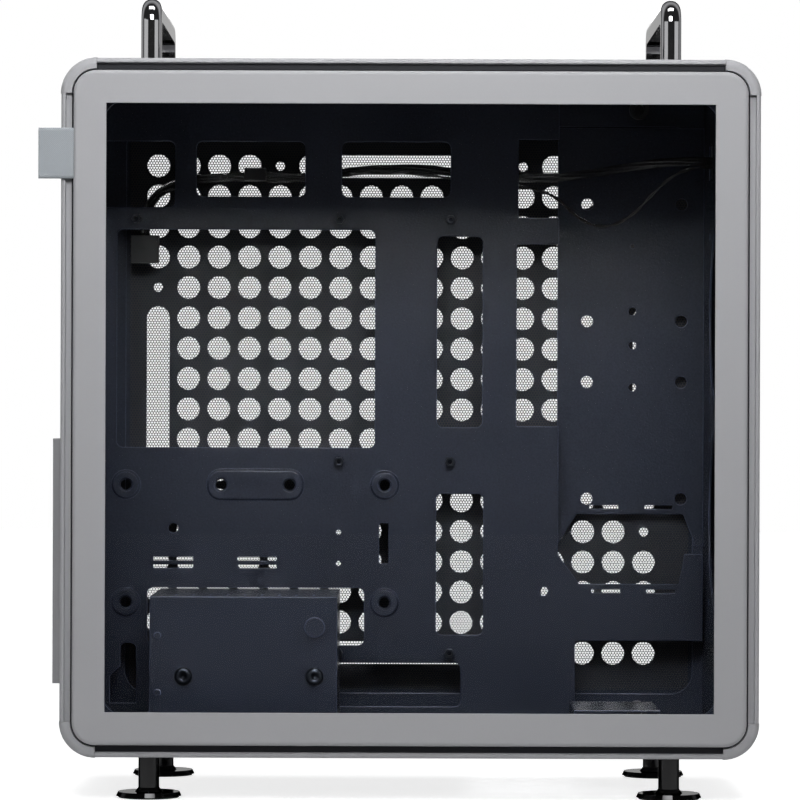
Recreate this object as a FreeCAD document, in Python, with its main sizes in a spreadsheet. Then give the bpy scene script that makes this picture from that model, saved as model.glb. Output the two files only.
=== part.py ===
"""Mid-tower computer case with a glazed side, a round-hole vented side, two handles and four round feet.

Frame: +X towards the front of the case, +Y towards the vented side, +Z up, origin on the floor under the
middle of the whole case, pull tab included. All sizes are millimetres.
"""
import FreeCAD, Part
import math
import os
import re
import Sketcher
from FreeCAD import Placement, Rotation, Vector

# Driving dimensions
SIZES = {
    # overall, and how far cutting shapes reach past a face
    "case_depth": 424, "case_height": 424, "case_width": 231, "foot_height": 26, "tab_reach": 13, "cut_over": 1,
    # outer shell: one section, straight on four sides and turned at the corners
    "corner_radius": 22, "corner_proud": 0.5, "skin": 1.6, "rim_depth": 7, "rim_width": 5, "rim_round": 4.4,
    "lip_width": 2.8, "lip_round": 2.4, "step_depth": 3.2,
    # side panels
    "panel_gap": 1.1, "panel_proud": 3.5, "panel_thick": 6, "panel_border": 20, "panel_edge_round": 2.6,
    "glass_thick": 4, "glass_recess": 1.2, "glass_lap": 8, "glass_play": 0.4,
    "tab_height": 31, "tab_thick": 1.8, "tab_root": 4, "tab_drop": 43, "tab_play": 0.15,
    # round-hole grid of the vented side
    "vent_sheet": 1.5, "vent_return": 1.2, "vent_hole": 15, "vent_pitch": 20, "vent_rows": 17, "vent_shift": -5.5,
    "vent_dimple": 6, "vent_slot_first": 5, "mesh_thick": 0.6, "mesh_margin": 20,
    # folded frames round the side openings, and the snap studs
    "frame_sheet": 1.2, "frame_flange": 26, "frame_corner": 14, "frame_play": 0.3,
    "stud_spread": 150, "stud_inset": 15, "stud_base": 5, "stud_neck": 1.8, "stud_ball": 3, "stud_play": 0.3,
    "stud_hole": 4, "stud_reach": 5, "clip_radius": 6.5, "clip_length": 8,
    # board tray, measured from the rear and bottom outer faces
    "tray_sheet": 1, "tray_from_right": 33.5, "joggle_x": 308, "recess_low": 123, "recess_high": 397,
    "arm_post_top": 118.5, "arm_top": 98.9, "arm_low": 62.1, "arm_slope_x": 322.8, "arm_post_x": 391.4,
    "arm_post_slant": 3.9, "arm_end": 403.1, "arm_root_x": 320.1, "arm_slope_top": 117.5,
    "notch_top": 143.9, "notch_slope_x": 322.1, "notch_right_x": 391.8, "notch_end_x": 399, "notch_end_z": 126,
    "window_round": 4, "thin_slot": 2.4,
    "board_hole_x": 11.2, "board_hole_z": 53.5, "board_pitch_far": 154.94, "board_pitch_near": 72.39,
    "board_rear_pitch": 132.08, "board_pitch_low": 124.46, "board_pitch_high": 157.48,
    "board_small_high": 78.4, "board_small_low": 58.1,
    "standoff_length": 6.5, "standoff_radius": 3.2, "standoff_bore": 1.5, "board_small_hole": 1.6,
    "boss_radius": 9.5, "boss_height": 1.6, "boss_slope": 1.4, "boss_hole": 3.5, "boss_sink": 1.2, "boss_x": 27.7, "boss_z": 86.1,
    "boss_pitch_x": 168.4, "boss_pitch_z": 76.5, "oblong_long": 63, "oblong_high": 20.5, "oblong_round": 9,
    "oblong_pitch": 44.4, "key_left": 17.7, "key_mid": 24.4, "key_right": 34.8, "key_low": 20.5, "key_step": 38,
    "key_high": 59.5, "key_round": 4, "post_notch": 6, "lance_round": 1,
    "drive_hole": 3.9, "drive_hole_x": 19.4, "drive_pitch_x": 61.72, "drive_pitch_z": 76.6,
    "drive_hole_z": 153.9, "drive_hole_high": 270.4,
    # drive cage
    "cage_x": 50.7, "cage_wide": 116.6, "cage_high": 92.8, "cage_reach": 122, "cage_sheet": 1,
    "cage_rib": 1.4, "cage_rib_long": 16, "cage_rib_pitch": 10.8, "cage_rib_count": 9,
    "cage_screw_x": 21, "cage_screw_pitch": 81.6, "cage_screw_z": 43.3, "cage_screw_head": 5.6,
    "cage_screw_shank": 2, "cage_screw_deep": 3, "cage_dome_z": 73.9, "cage_dome_radius": 6.2, "cage_dome_high": 2,
    "cage_rivet_x": 5, "cage_rivet_z": 33, "cage_rivet_pitch": 35.5, "cage_rivet_radius": 2.2, "cage_rivet_high": 0.8,
    "cage_notch": 8, "relief": 1.5,
    # power supply shelf
    "shelf_x": 314, "shelf_wide": 53, "shelf_high": 24.4, "shelf_long": 82, "shelf_y": -19, "shelf_sheet": 1.2,
    # wall behind the front panel
    "wall_inset": 19, "wall_sheet": 1.2, "fan_opening": 112, "fan_pitch": 105, "fan_hole": 2.2,
    "fan_high_z": 271, "fan_low_z": 141, "lead_hole_wide": 26, "lead_hole_high": 22, "lead_hole_y": 47,
    "lead_hole_z": 371,
    # front sockets and buttons
    "socket_z": 382, "housing_wide": 116, "housing_low": 360, "housing_high": 394,
    "power_y": -40, "power_radius": 8, "reset_y": -20, "reset_radius": 4, "button_long": 7, "button_play": 0.3,
    "button_travel": 1.5, "button_proud": 0.3, "button_edge": 0.8,
    "usb_y": 0, "usb_pitch": 18, "usb_wide": 6, "usb_tall": 13.4, "usb_shell": 0.6, "usb_c_y": 33, "usb_c_wide": 3.6,
    "usb_c_tall": 9.2, "audio_y": 47, "audio_radius": 4, "audio_bore": 1.8, "socket_play": 0.2, "socket_deep": 12,
    # vents in the plain panels, and the dust filters behind them
    "slot_wide": 5, "slot_long": 120, "slot_pitch": 13, "slot_count": 11, "slot_spread": 75,
    "filter_thick": 1.2, "filter_margin": 8, "front_slot_long": 250, "front_slot_low": 60, "front_slot_count": 12,
    "floor_slot_long": 100, "floor_slot_x": 300,
    # rear panel: socket opening, fan vent and expansion slots
    "io_high": 158.75, "io_wide": 44.45, "io_low_z": 197, "io_from_tray": 2.7,
    "rear_fan_y": -38, "rear_fan_z": 287, "rear_vent_long": 100, "rear_vent_wide": 8, "rear_vent_pitch": 14,
    "rear_vent_count": 7,
    "slot_first_z": 57.2, "expansion_count": 7, "expansion_pitch": 20.32, "expansion_open": 13, "expansion_low_y": -35,
    "expansion_high_y": 68, "cover_wide": 18.4, "cover_thick": 0.9, "cover_lap": 5, "cover_tab": 7,
    "slit_wide": 3, "ledge_thick": 1.2, "slot_screw_radius": 1.5, "slot_screw_head": 3, "slot_screw_high": 2,
    "shield_low": 42, "shield_high": 151, "shield_deep": 8.5, "shield_wide": 34, "shield_sheet": 1, "shield_y": -60,
    # handles and feet
    "post_x": 159, "post_y": 80, "handle_wide": 12.3, "handle_high": 39.5, "handle_post": 12, "handle_bar": 14,
    "handle_bend": 14, "handle_inner": 6, "handle_soft": 6,
    "screw_radius": 2, "screw_play": 0.1, "screw_head": 3.8, "screw_head_high": 2.4, "screw_deep": 10, "screw_end": 1,
    "foot_radius": 20, "foot_disc": 2.6, "foot_taper": 1.2, "foot_stem": 6.4, "foot_collar": 8.5,
    "foot_collar_high": 2.5, "pad_thick": 1, "pad_radius": 18.5,
    # leads of the front sockets
    "cable_radius": 3, "lead_radius": 1.2, "plug_wide": 18, "plug_thick": 7, "plug_high": 18,
    "small_plug_long": 14, "small_plug_thick": 5, "small_plug_high": 8,
    "tie_wide": 4, "tie_band": 1, "tie_deep": 14.5, "tie_high": 24, "tie_z": 352,
    "tie_front_x": 260, "tie_mid_x": 156, "tie_rear_x": 66,
}

# Rectangular openings of the tray: left, right, low and high edge from the rear and bottom outer faces;
# the two with no right edge run round the fold
TRAY_WINDOWS = {
    "cooler": (21.6, 189.5, 186.9, 328.6), "lead_rear": (10, 59.1, 343, 385.9),
    "lead_mid": (73.1, 143.7, 350.2, 385.9), "lead_front": (167.6, 238.3, 350.1, 385.9),
    "fold_high": (282.5, None, 336.8, 387.8), "side_high": (229.8, 259.4, 200.5, 324.7),
    "fold_low": (281.5, None, 201.2, 319.7), "side_low": (229.6, 260.3, 65.4, 157.2),
    "cage_back": (41.8, 182.9, 58.4, 95.7), "floor": (150, 245.9, 18.7, 47.2), "lance": (192.6, 198.7, 111.6, 138),
}
for name, edges in TRAY_WINDOWS.items():
    for edge, size in zip(("left", "right", "low", "high"), edges):
        if size is not None:
            SIZES[name + "_" + edge] = size

# Thin slots for straps: left end, right end and height
STRAP_SLOTS = {
    "strap_one": (45.7, 71.6, 114.5), "strap_two": (45.7, 71.6, 109.6), "strap_three": (100.4, 125.9, 114.5),
    "strap_four": (100.4, 125.9, 109.6), "strap_five": (330.8, 349.6, 94.3), "strap_six": (366.5, 385.4, 94.3),
    "strap_seven": (330.4, 349.3, 148.5), "strap_eight": (366.6, 384.9, 148.5),
}
for name, ends in STRAP_SLOTS.items():
    for end, size in zip(("left", "right", "level"), ends):
        SIZES[name + "_" + end] = size

# Spare round holes of the tray: place from the rear and bottom outer faces, and radius
SPARE_HOLES = {
    "spare_rear": (58.7, 134.4, 3.2), "spare_front": (299.6, 94, 3), "grommet_low": (358.2, 227, 2.6),
    "grommet_mid": (358.2, 254.6, 2.6), "grommet_high": (358.2, 276.9, 2.6), "spare_small": (358.2, 319.6, 1.5),
}
for name, hole in SPARE_HOLES.items():
    for part, size in zip(("x", "z", "radius"), hole):
        SIZES[name + "_" + part] = size

doc = FreeCAD.newDocument("computer_case")
sheet = doc.addObject("Spreadsheet::Sheet", "Sizes")
for row, (name, size) in enumerate(SIZES.items(), start=1):
    sheet.set("A%d" % row, name)
    sheet.set("B%d" % row, str(size))
    sheet.setAlias("B%d" % row, name)
doc.recompute()

# Outer faces of the shell, and the faces that pieces seat on, as formulas of the driving dimensions
REAR = "((tab_reach - case_depth) / 2)"
FRONT = "((tab_reach + case_depth) / 2)"
MID_X = "(tab_reach / 2)"
FLOOR = "foot_height"
TOP = "(foot_height + case_height)"
MID_Z = "(foot_height + case_height / 2)"
RING = "(case_width / 2 - panel_proud)"
SHEET_IN = "(corner_proud + skin)"
FRAME_Y = "(case_width / 2 - panel_proud - rim_width - frame_sheet)"
TRAY_Y = "(case_width / 2 - tray_from_right)"
RECESS_Y = "(" + FRAME_Y + " - tray_sheet)"
WALL_X = "(" + FRONT + " - wall_inset)"
PANEL_IN = "(case_width / 2 - panel_thick)"
PANEL_EDGE = "(rim_depth + panel_gap)"


def formula(text):
    """The same formula with every driving dimension read from the sheet."""
    return re.sub(r"[a-z][a-z_0-9]*", lambda w: "Sizes." + w.group() if w.group() in SIZES else w.group(), text)


def number(text):
    """The value of a formula, in millimetres."""
    return float(sheet.evalExpression(formula(text)))


def bind(thing, prop, text):
    """Tie one property to a formula of the driving dimensions."""
    thing.setExpression(prop, formula(text))


def place(thing, x="0", y="0", z="0", turn=None):
    """Stand a piece at a point, turned as given."""
    if turn is not None:
        thing.Placement = Placement(Vector(), turn)
    for axis, text in zip("xyz", (x, y, z)):
        bind(thing, "Placement.Base." + axis, text)


# Sketches, pads and pockets
def new_body(label, x="0", y="0", z="0", turn=None):
    """An empty body at a point."""
    body = doc.addObject("PartDesign::Body", label)
    body.Label = label
    place(body, x, y, z, turn)
    return body


def new_sketch(body, role, level="0"):
    """A sketch on one of the body's own planes, lifted to a level along the plane's normal."""
    sketch = body.newObject("Sketcher::SketchObject", body.Name + "_sketch")
    sketch.AttachmentSupport = [([f for f in body.Origin.OriginFeatures if f.Role == role][0], "")]
    sketch.MapMode = "FlatFace"
    bind(sketch, "AttachmentOffset.Base.z", level)
    return sketch


def measure(sketch, constraints, formulas):
    """Add constraints, and tie the ones that have a formula to the driving dimensions."""
    ids = sketch.addConstraint(constraints)
    for index, text in zip(ids, formulas):
        if text is not None:
            sketch.renameConstraint(index, "d%d" % index)
            bind(sketch, "Constraints.d%d" % index, text)


def circle(sketch, x, y, radius):
    """A circle whose centre and radius are formulas."""
    index = sketch.GeometryCount
    centre = Vector(number(x), number(y), 0)
    sketch.addGeometry([Part.Circle(centre, Vector(0, 0, 1), number(radius))], False)
    measure(sketch,
            [Sketcher.Constraint("DistanceX", -1, 1, index, 3, centre.x),
             Sketcher.Constraint("DistanceY", -1, 1, index, 3, centre.y),
             Sketcher.Constraint("Radius", index, number(radius))],
            [x, y, radius])


def outline(sketch, corners):
    """A closed outline through corners (x, y, radius): straight sides, with a tangent arc where radius is given."""
    points = [Vector(number(x), number(y), 0) for x, y, _ in corners]
    count = len(points)
    ends = []
    arcs = {}
    for i, (_, _, radius) in enumerate(corners):
        back = (points[i - 1] - points[i]).normalize()
        ahead = (points[(i + 1) % count] - points[i]).normalize()
        if radius is None:
            ends.append((points[i], points[i]))
            continue
        half = back.getAngle(ahead) / 2
        size = number(radius)
        trim = size / math.tan(half)
        start, stop = points[i] + back * trim, points[i] + ahead * trim
        centre = points[i] + (back + ahead).normalize() * (size / math.sin(half))
        left_turn = (-back).cross(ahead).z > 0
        first, last = (start, stop) if left_turn else (stop, start)
        a0 = math.atan2(first.y - centre.y, first.x - centre.x)
        a1 = math.atan2(last.y - centre.y, last.x - centre.x)
        arc = Part.ArcOfCircle(Part.Circle(centre, Vector(0, 0, 1), size), a0, a1)
        arcs[i] = (arc, 1 if left_turn else 2)
        ends.append((start, stop))
    base = sketch.GeometryCount
    sides = [Part.LineSegment(ends[i][1], ends[(i + 1) % count][0]) for i in range(count)]
    arc_index = {i: base + count + k for k, i in enumerate(arcs)}
    sketch.addGeometry(sides + [arcs[i][0] for i in arcs], False)
    marks = sketch.addGeometry([Part.Point(points[i]) for i in arcs], True) if arcs else ()
    mark_index = dict(zip(arcs, marks if isinstance(marks, tuple) else (marks,)))
    constraints = []
    formulas = []
    for i, (x, y, radius) in enumerate(corners):
        before, after = base + (i - 1) % count, base + i
        if radius is None:
            constraints.append(Sketcher.Constraint("Coincident", before, 2, after, 1))
            formulas.append(None)
            corner = (after, 1)
        else:
            near = arcs[i][1]
            constraints += [Sketcher.Constraint("Tangent", before, 2, arc_index[i], near),
                            Sketcher.Constraint("Tangent", arc_index[i], 3 - near, after, 1),
                            Sketcher.Constraint("PointOnObject", mark_index[i], 1, before),
                            Sketcher.Constraint("PointOnObject", mark_index[i], 1, after),
                            Sketcher.Constraint("Radius", arc_index[i], number(radius))]
            formulas += [None, None, None, None, radius]
            corner = (mark_index[i], 1)
        constraints += [Sketcher.Constraint("DistanceX", -1, 1, corner[0], corner[1], points[i].x),
                        Sketcher.Constraint("DistanceY", -1, 1, corner[0], corner[1], points[i].y)]
        formulas += [x, y]
    measure(sketch, constraints, formulas)


def rectangle(sketch, left, right, low, high, radius=None):
    """A rectangle by its four edges, with all corners rounded alike if a radius is given."""
    outline(sketch, [(left, low, radius), (right, low, radius), (right, high, radius), (left, high, radius)])


def pad(body, sketch, length, away=False):
    """Pad a sketch by a length along its normal, or away from it."""
    feature = body.newObject("PartDesign::Pad", body.Name + "_pad")
    feature.Profile = sketch
    bind(feature, "Length", length)
    feature.Reversed = away
    doc.recompute()
    return feature


def pocket(body, sketch, depth=None, away=False):
    """Cut a sketch into the body against its normal, right through unless a depth is given."""
    before = body.Shape.Volume
    feature = body.newObject("PartDesign::Pocket", body.Name + "_pocket")
    feature.Profile = sketch
    if depth is None:
        feature.Type = "ThroughAll"
    else:
        bind(feature, "Length", depth)
    feature.Reversed = away
    doc.recompute()
    if body.Shape.Volume >= before:
        raise RuntimeError("the pocket in %s removes nothing" % body.Label)
    return feature


def pattern(body, feature, sketch, axis, step, count):
    """Repeat a feature along one axis of its sketch."""
    repeat = body.newObject("PartDesign::LinearPattern", body.Name + "_pattern")
    repeat.Originals = [feature]
    repeat.Direction = (sketch, [axis])
    bind(repeat, "Length", "%s * (%s - 1)" % (step, count))
    bind(repeat, "Occurrences", count)
    body.Tip = repeat
    doc.recompute()
    return repeat


def revolve(body, sketch, axis, angle=360):
    """Turn a sketch about one of its own axes."""
    feature = body.newObject("PartDesign::Revolution", body.Name + "_turn")
    feature.Profile = sketch
    feature.ReferenceAxis = (sketch, [axis])
    feature.Angle = angle
    doc.recompute()
    return feature


# Solids and booleans
def box(label, x, y, z):
    """A box by its low and high edge along each axis."""
    solid = doc.addObject("Part::Box", label)
    solid.Label = label
    for prop, (low, high) in zip(("Length", "Width", "Height"), (x, y, z)):
        bind(solid, prop, "(%s) - (%s)" % (high, low))
    place(solid, x[0], y[0], z[0])
    return solid


ALONG_X = Rotation(Vector(0, 0, 1), Vector(1, 0, 0))
ALONG_Y = Rotation(Vector(0, 0, 1), Vector(0, 1, 0))
ALONG_Z = Rotation()


def cylinder(label, radius, length, x, y, z, turn=ALONG_Z):
    """A cylinder from a point along its turned axis."""
    solid = doc.addObject("Part::Cylinder", label)
    solid.Label = label
    bind(solid, "Radius", radius)
    bind(solid, "Height", length)
    place(solid, x, y, z, turn)
    return solid


def fuse(label, solids):
    """One solid from several that meet."""
    union = doc.addObject("Part::MultiFuse", label)
    union.Label = label
    union.Shapes = solids
    return union


def cut(label, solid, tools):
    """A solid less one or more others."""
    tool = tools[0] if len(tools) == 1 else fuse(label + "_tools", tools)
    result = doc.addObject("Part::Cut", label)
    result.Label = label
    result.Base = solid
    result.Tool = tool
    return result


def group(label, solids):
    """Like pieces kept as separate solids under one name."""
    bundle = doc.addObject("Part::Compound", label)
    bundle.Label = label
    bundle.Links = solids
    return bundle


def from_rear(name):
    """A tray size measured from the rear outer face."""
    return REAR + " + " + name


def from_floor(name):
    """A size measured up from the bottom outer face."""
    return FLOOR + " + " + name


nodes = []


# Outer shell
def shell_section(sketch, outer, stepped):
    """Section of the shell across the case: a thin skin between two deeper rims with rounded outer edges.
    A stepped rim is cut back inside a narrow outer lip."""
    rim = "%s - rim_depth" % outer
    skin = "%s - skin" % outer
    lip = "%s - lip_width" % outer
    inner = "(%s - rim_width)" % RING
    step = "(%s - step_depth)" % RING
    web = [("-" + inner, rim, None), ("-" + inner, skin, None), (inner, skin, None), (inner, rim, None)]
    if stepped:
        outline(sketch, web + [
            (step, rim, None), (step, lip, None), (RING, lip, None), (RING, outer, "lip_round"),
            ("-" + RING, outer, "lip_round"), ("-" + RING, lip, None), ("-" + step, lip, None), ("-" + step, rim, None)])
    else:
        outline(sketch, web + [
            (RING, rim, None), (RING, outer, "rim_round"), ("-" + RING, outer, "rim_round"), ("-" + RING, rim, None)])


def straight_panel(label, length, x, z, degrees):
    """One straight side of the shell, its outer face at the given point and turned about Y."""
    body = new_body(label, x, "0", z, Rotation(Vector(0, 1, 0), degrees))
    sketch = new_sketch(body, "YZ_Plane", "-(%s) / 2" % length)
    shell_section(sketch, "0", stepped=True)
    pad(body, sketch, length)
    return body


def corner_moulding(label, x, z, degrees):
    """A corner of the shell: the same section turned a quarter about Y."""
    body = new_body(label, x, "0", z, Rotation(Vector(0, 1, 0), degrees))
    sketch = new_sketch(body, "YZ_Plane")
    shell_section(sketch, "corner_radius", stepped=False)
    revolve(body, sketch, "H_Axis", 90)
    return body


def slot_field(body, left, right, first, count):
    """A row of straight vent slots through a panel's skin, side by side across the case."""
    sketch = new_sketch(body, "XY_Plane")
    rectangle(sketch, left, right, "%s - slot_wide / 2" % first, "%s + slot_wide / 2" % first)
    pattern(body, pocket(body, sketch), sketch, "V_Axis", "slot_pitch", count)


DEPTH_RUN = "case_depth - 2 * corner_radius"
HEIGHT_RUN = "case_height - 2 * corner_radius"
top_panel = straight_panel("top_panel", DEPTH_RUN, MID_X, TOP + " - corner_proud", 0)
front_panel = straight_panel("front_panel", HEIGHT_RUN, FRONT + " - corner_proud", MID_Z, 90)
bottom_panel = straight_panel("bottom_panel", DEPTH_RUN, MID_X, FLOOR + " + corner_proud", 180)
rear_panel = straight_panel("rear_panel", HEIGHT_RUN, REAR + " + corner_proud", MID_Z, -90)
LOW_X, HIGH_X = REAR + " + corner_radius", FRONT + " - corner_radius"
LOW_Z, HIGH_Z = FLOOR + " + corner_radius", TOP + " - corner_radius"
nodes += [corner_moulding("corner_top_front", HIGH_X, HIGH_Z, 0),
          corner_moulding("corner_bottom_front", HIGH_X, LOW_Z, 90),
          corner_moulding("corner_bottom_rear", LOW_X, LOW_Z, 180),
          corner_moulding("corner_top_rear", LOW_X, HIGH_Z, 270)]

# Top: two fields of slots over the top filter, and holes for the handle screws
FIRST_SLOT = "(-slot_pitch * (slot_count - 1) / 2)"
for side in ("-", ""):
    middle = "%sslot_spread" % side
    slot_field(top_panel, middle + " - slot_long / 2", middle + " + slot_long / 2", FIRST_SLOT, "slot_count")
for body in (top_panel, bottom_panel):
    holes = new_sketch(body, "XY_Plane")
    for x in ("-post_x", "post_x"):
        for y in ("-post_y", "post_y"):
            circle(holes, x, y, "screw_radius + screw_play")
    pocket(body, holes)

# Front: intake slots below the sockets; its length runs downwards, so heights are counted from the middle
def front_level(height):
    """A height above the bottom outer face, along the front panel."""
    return "(case_height / 2 - (%s))" % height


FRONT_FIRST = "(-slot_pitch * (front_slot_count - 1) / 2)"
slot_field(front_panel, front_level("front_slot_low + front_slot_long"), front_level("front_slot_low"),
           FRONT_FIRST, "front_slot_count")
SOCKET_LEVEL = front_level("socket_z")
sockets = new_sketch(front_panel, "XY_Plane")
circle(sockets, SOCKET_LEVEL, "power_y", "power_radius + button_play")
circle(sockets, SOCKET_LEVEL, "reset_y", "reset_radius + button_play")
circle(sockets, SOCKET_LEVEL, "audio_y", "audio_radius + socket_play")
USB_SOCKETS = [("usb_y", "usb_wide", "usb_tall"), ("usb_y + usb_pitch", "usb_wide", "usb_tall"),
               ("usb_c_y", "usb_c_wide", "usb_c_tall")]
for y, wide, tall in USB_SOCKETS:
    rectangle(sockets, "%s - %s / 2 - socket_play" % (SOCKET_LEVEL, wide),
              "%s + %s / 2 + socket_play" % (SOCKET_LEVEL, wide),
              "%s - %s / 2 - socket_play" % (y, tall), "%s + %s / 2 + socket_play" % (y, tall))
pocket(front_panel, sockets)

# Bottom: a field of slots under the power supply; its length runs backwards
FLOOR_SLOT = "(case_depth / 2 - floor_slot_x)"
slot_field(bottom_panel, FLOOR_SLOT + " - floor_slot_long / 2", FLOOR_SLOT + " + floor_slot_long / 2",
           FIRST_SLOT, "slot_count")


# Rear: socket opening, fan vent with its four holes, and the expansion slots with the slit for their tabs
def rear_level(height):
    """A height above the bottom outer face, along the rear panel."""
    return "(%s - case_height / 2)" % height


opening = new_sketch(rear_panel, "XY_Plane")
IO_HIGH_Y = TRAY_Y + " - io_from_tray"
rectangle(opening, rear_level("io_low_z"), rear_level("io_low_z + io_high"), IO_HIGH_Y + " - io_wide", IO_HIGH_Y)
SLIT_Y = "(expansion_low_y - cover_lap - slit_wide)"
rectangle(opening, rear_level("slot_first_z - expansion_pitch / 2"),
          rear_level("slot_first_z + expansion_pitch * (expansion_count - 0.5)"), SLIT_Y, SLIT_Y + " + slit_wide")
for x in ("-", "+"):
    for y in ("-", "+"):
        circle(opening, rear_level("rear_fan_z %s fan_pitch / 2" % x), "rear_fan_y %s fan_pitch / 2" % y, "fan_hole")
pocket(rear_panel, opening)
vent = new_sketch(rear_panel, "XY_Plane")
VENT_FIRST = "(rear_fan_y - rear_vent_pitch * (rear_vent_count - 1) / 2)"
rectangle(vent, rear_level("rear_fan_z - rear_vent_long / 2"), rear_level("rear_fan_z + rear_vent_long / 2"),
          VENT_FIRST + " - rear_vent_wide / 2", VENT_FIRST + " + rear_vent_wide / 2")
pattern(rear_panel, pocket(rear_panel, vent), vent, "V_Axis", "rear_vent_pitch", "rear_vent_count")
expansion = new_sketch(rear_panel, "XY_Plane")
rectangle(expansion, rear_level("slot_first_z - expansion_open / 2"), rear_level("slot_first_z + expansion_open / 2"),
          "expansion_low_y", "expansion_high_y")
pattern(rear_panel, pocket(rear_panel, expansion), expansion, "H_Axis", "expansion_pitch", "expansion_count")
nodes += [top_panel, front_panel, bottom_panel, rear_panel]


# Folded frames round the two side openings, with their snap clips
STUD_PLACES = [(MID_X + x, z) for x in (" - stud_spread", " + stud_spread")
               for z in (FLOOR + " + stud_inset", TOP + " - stud_inset")]


def side_frame(label, face):
    """A flat sheet frame behind the rims: its outer edge follows the shell, its opening has rounded corners."""
    body = new_body(label)
    sketch = new_sketch(body, "XZ_Plane", face)
    edge = SHEET_IN + " + frame_play"
    rectangle(sketch, "%s + %s" % (REAR, edge), "%s - (%s)" % (FRONT, edge), "%s + %s" % (FLOOR, edge),
              "%s - (%s)" % (TOP, edge), "corner_radius - (%s)" % edge)
    rectangle(sketch, REAR + " + frame_flange", FRONT + " - frame_flange", FLOOR + " + frame_flange",
              TOP + " - frame_flange", "frame_corner")
    for x, z in STUD_PLACES:
        circle(sketch, x, z, "stud_hole")
    pad(body, sketch, "frame_sheet")
    return body


def snap_pair(side, sign, turn):
    """Four ball studs on a side panel and the four clips that they press into."""
    studs, clips = [], []
    for i, (x, z) in enumerate(STUD_PLACES):
        name = "%s_%d" % (side, i)
        base = cylinder(name + "_base", "stud_base", "1", x, sign + PANEL_IN, z, turn)
        neck = cylinder(name + "_neck", "stud_neck", "stud_reach", x, sign + PANEL_IN, z, turn)
        head_y = "%s(%s - stud_reach)" % (sign, PANEL_IN)
        head = cylinder(name + "_head", "stud_ball", "stud_ball", x, head_y, z, turn)
        studs.append(fuse(name + "_stud", [base, neck, head]))
        outer = cylinder(name + "_sleeve", "clip_radius", "clip_length", x, sign + FRAME_Y, z, turn)
        inner = cylinder(name + "_bore", "stud_ball + stud_play", "clip_length", x, sign + FRAME_Y, z, turn)
        clips.append(cut(name + "_clip", outer, [inner]))
    return [group(side + "_studs", studs), group(side + "_clips", clips)]


INWARD_FROM_RIGHT = Rotation(Vector(0, 0, 1), Vector(0, -1, 0))
nodes += [side_frame("side_frame_left", FRAME_Y), side_frame("side_frame_right", "-(%s + frame_sheet)" % FRAME_Y)]
nodes += snap_pair("left", "-", ALONG_Y) + snap_pair("right", "", INWARD_FROM_RIGHT)

# Glazed side: a moulded frame, rebated behind for the pane, and the strap that pulls it off
PANEL_BOX = (REAR + " + " + PANEL_EDGE, FRONT + " - " + PANEL_EDGE, FLOOR + " + " + PANEL_EDGE, TOP + " - " + PANEL_EDGE)


def inset(edges, by):
    """A rectangle's four edges moved inwards."""
    left, right, low, high = edges
    return "%s + %s" % (left, by), "%s - (%s)" % (right, by), "%s + %s" % (low, by), "%s - (%s)" % (high, by)


window_frame = new_body("window_frame")
front_face = new_sketch(window_frame, "XZ_Plane", "case_width / 2")
rectangle(front_face, *PANEL_BOX, "corner_radius - " + PANEL_EDGE)
rectangle(front_face, *inset(PANEL_BOX, "panel_border"))
slab = pad(window_frame, front_face, "panel_thick", away=True)
rounding = window_frame.newObject("PartDesign::Fillet", "window_frame_edge")
outer_face_y = -number("case_width / 2")
window_reach = number("case_depth / 2 - %s - panel_border" % PANEL_EDGE)
soft_edges = []
for i, edge in enumerate(slab.Shape.Edges, start=1):
    middle = edge.valueAt((edge.FirstParameter + edge.LastParameter) / 2)
    far = max(abs(middle.x - number(MID_X)), abs(middle.z - number(MID_Z))) > window_reach + 1
    if far and abs(edge.BoundBox.YMin - outer_face_y) < 0.01 and edge.BoundBox.YLength < 0.01:
        soft_edges.append("Edge%d" % i)
rounding.Base = (slab, soft_edges)
bind(rounding, "Radius", "panel_edge_round")
doc.recompute()
rebate = new_sketch(window_frame, "XZ_Plane", PANEL_IN)
rectangle(rebate, *inset(PANEL_BOX, "panel_border - glass_lap"))
pocket(window_frame, rebate, "panel_thick - glass_recess", away=True)
TAB_HIGH = TOP + " - tab_drop"
TAB_LOW = TAB_HIGH + " - tab_height"
TAB_Y = "(%s + tab_play)" % RING
tab_notch = new_sketch(window_frame, "XY_Plane", TAB_LOW + " - tab_play")
rectangle(tab_notch, PANEL_BOX[0] + " - cut_over", PANEL_BOX[0] + " + tab_root",
          "-%s - tab_thick - tab_play" % TAB_Y, "-%s + tab_play" % TAB_Y)
pocket(window_frame, tab_notch, "tab_height + 2 * tab_play", away=True)
pane_left, pane_right, pane_low, pane_high = inset(PANEL_BOX, "panel_border - glass_lap + glass_play")
glass_pane = box("glass_pane", (pane_left, pane_right),
                 ("-case_width / 2 + glass_recess", "-case_width / 2 + glass_recess + glass_thick"),
                 (pane_low, pane_high))
pull_tab = box("pull_tab", (REAR + " - tab_reach", PANEL_BOX[0] + " + tab_root"),
               ("-%s - tab_thick" % TAB_Y, "-" + TAB_Y), (TAB_LOW, TAB_HIGH))
nodes += [window_frame, glass_pane, pull_tab]


# Vented side: a square grid of holes, with the middle of each outer row run together into one long slot
def ring_wire(x, z, radius, stretch_x=0, stretch_z=0):
    """An eight-sided hole, drawn out along X or Z into a slot if a stretch is given."""
    points = []
    for k in range(8):
        angle = math.radians(22.5 + 45 * k)
        px, pz = math.cos(angle), math.sin(angle)
        points.append(Vector(x + radius * px + math.copysign(stretch_x, px), 0,
                             z + radius * pz + math.copysign(stretch_z, pz)))
    return Part.makePolygon(points + points[:1])


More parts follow.
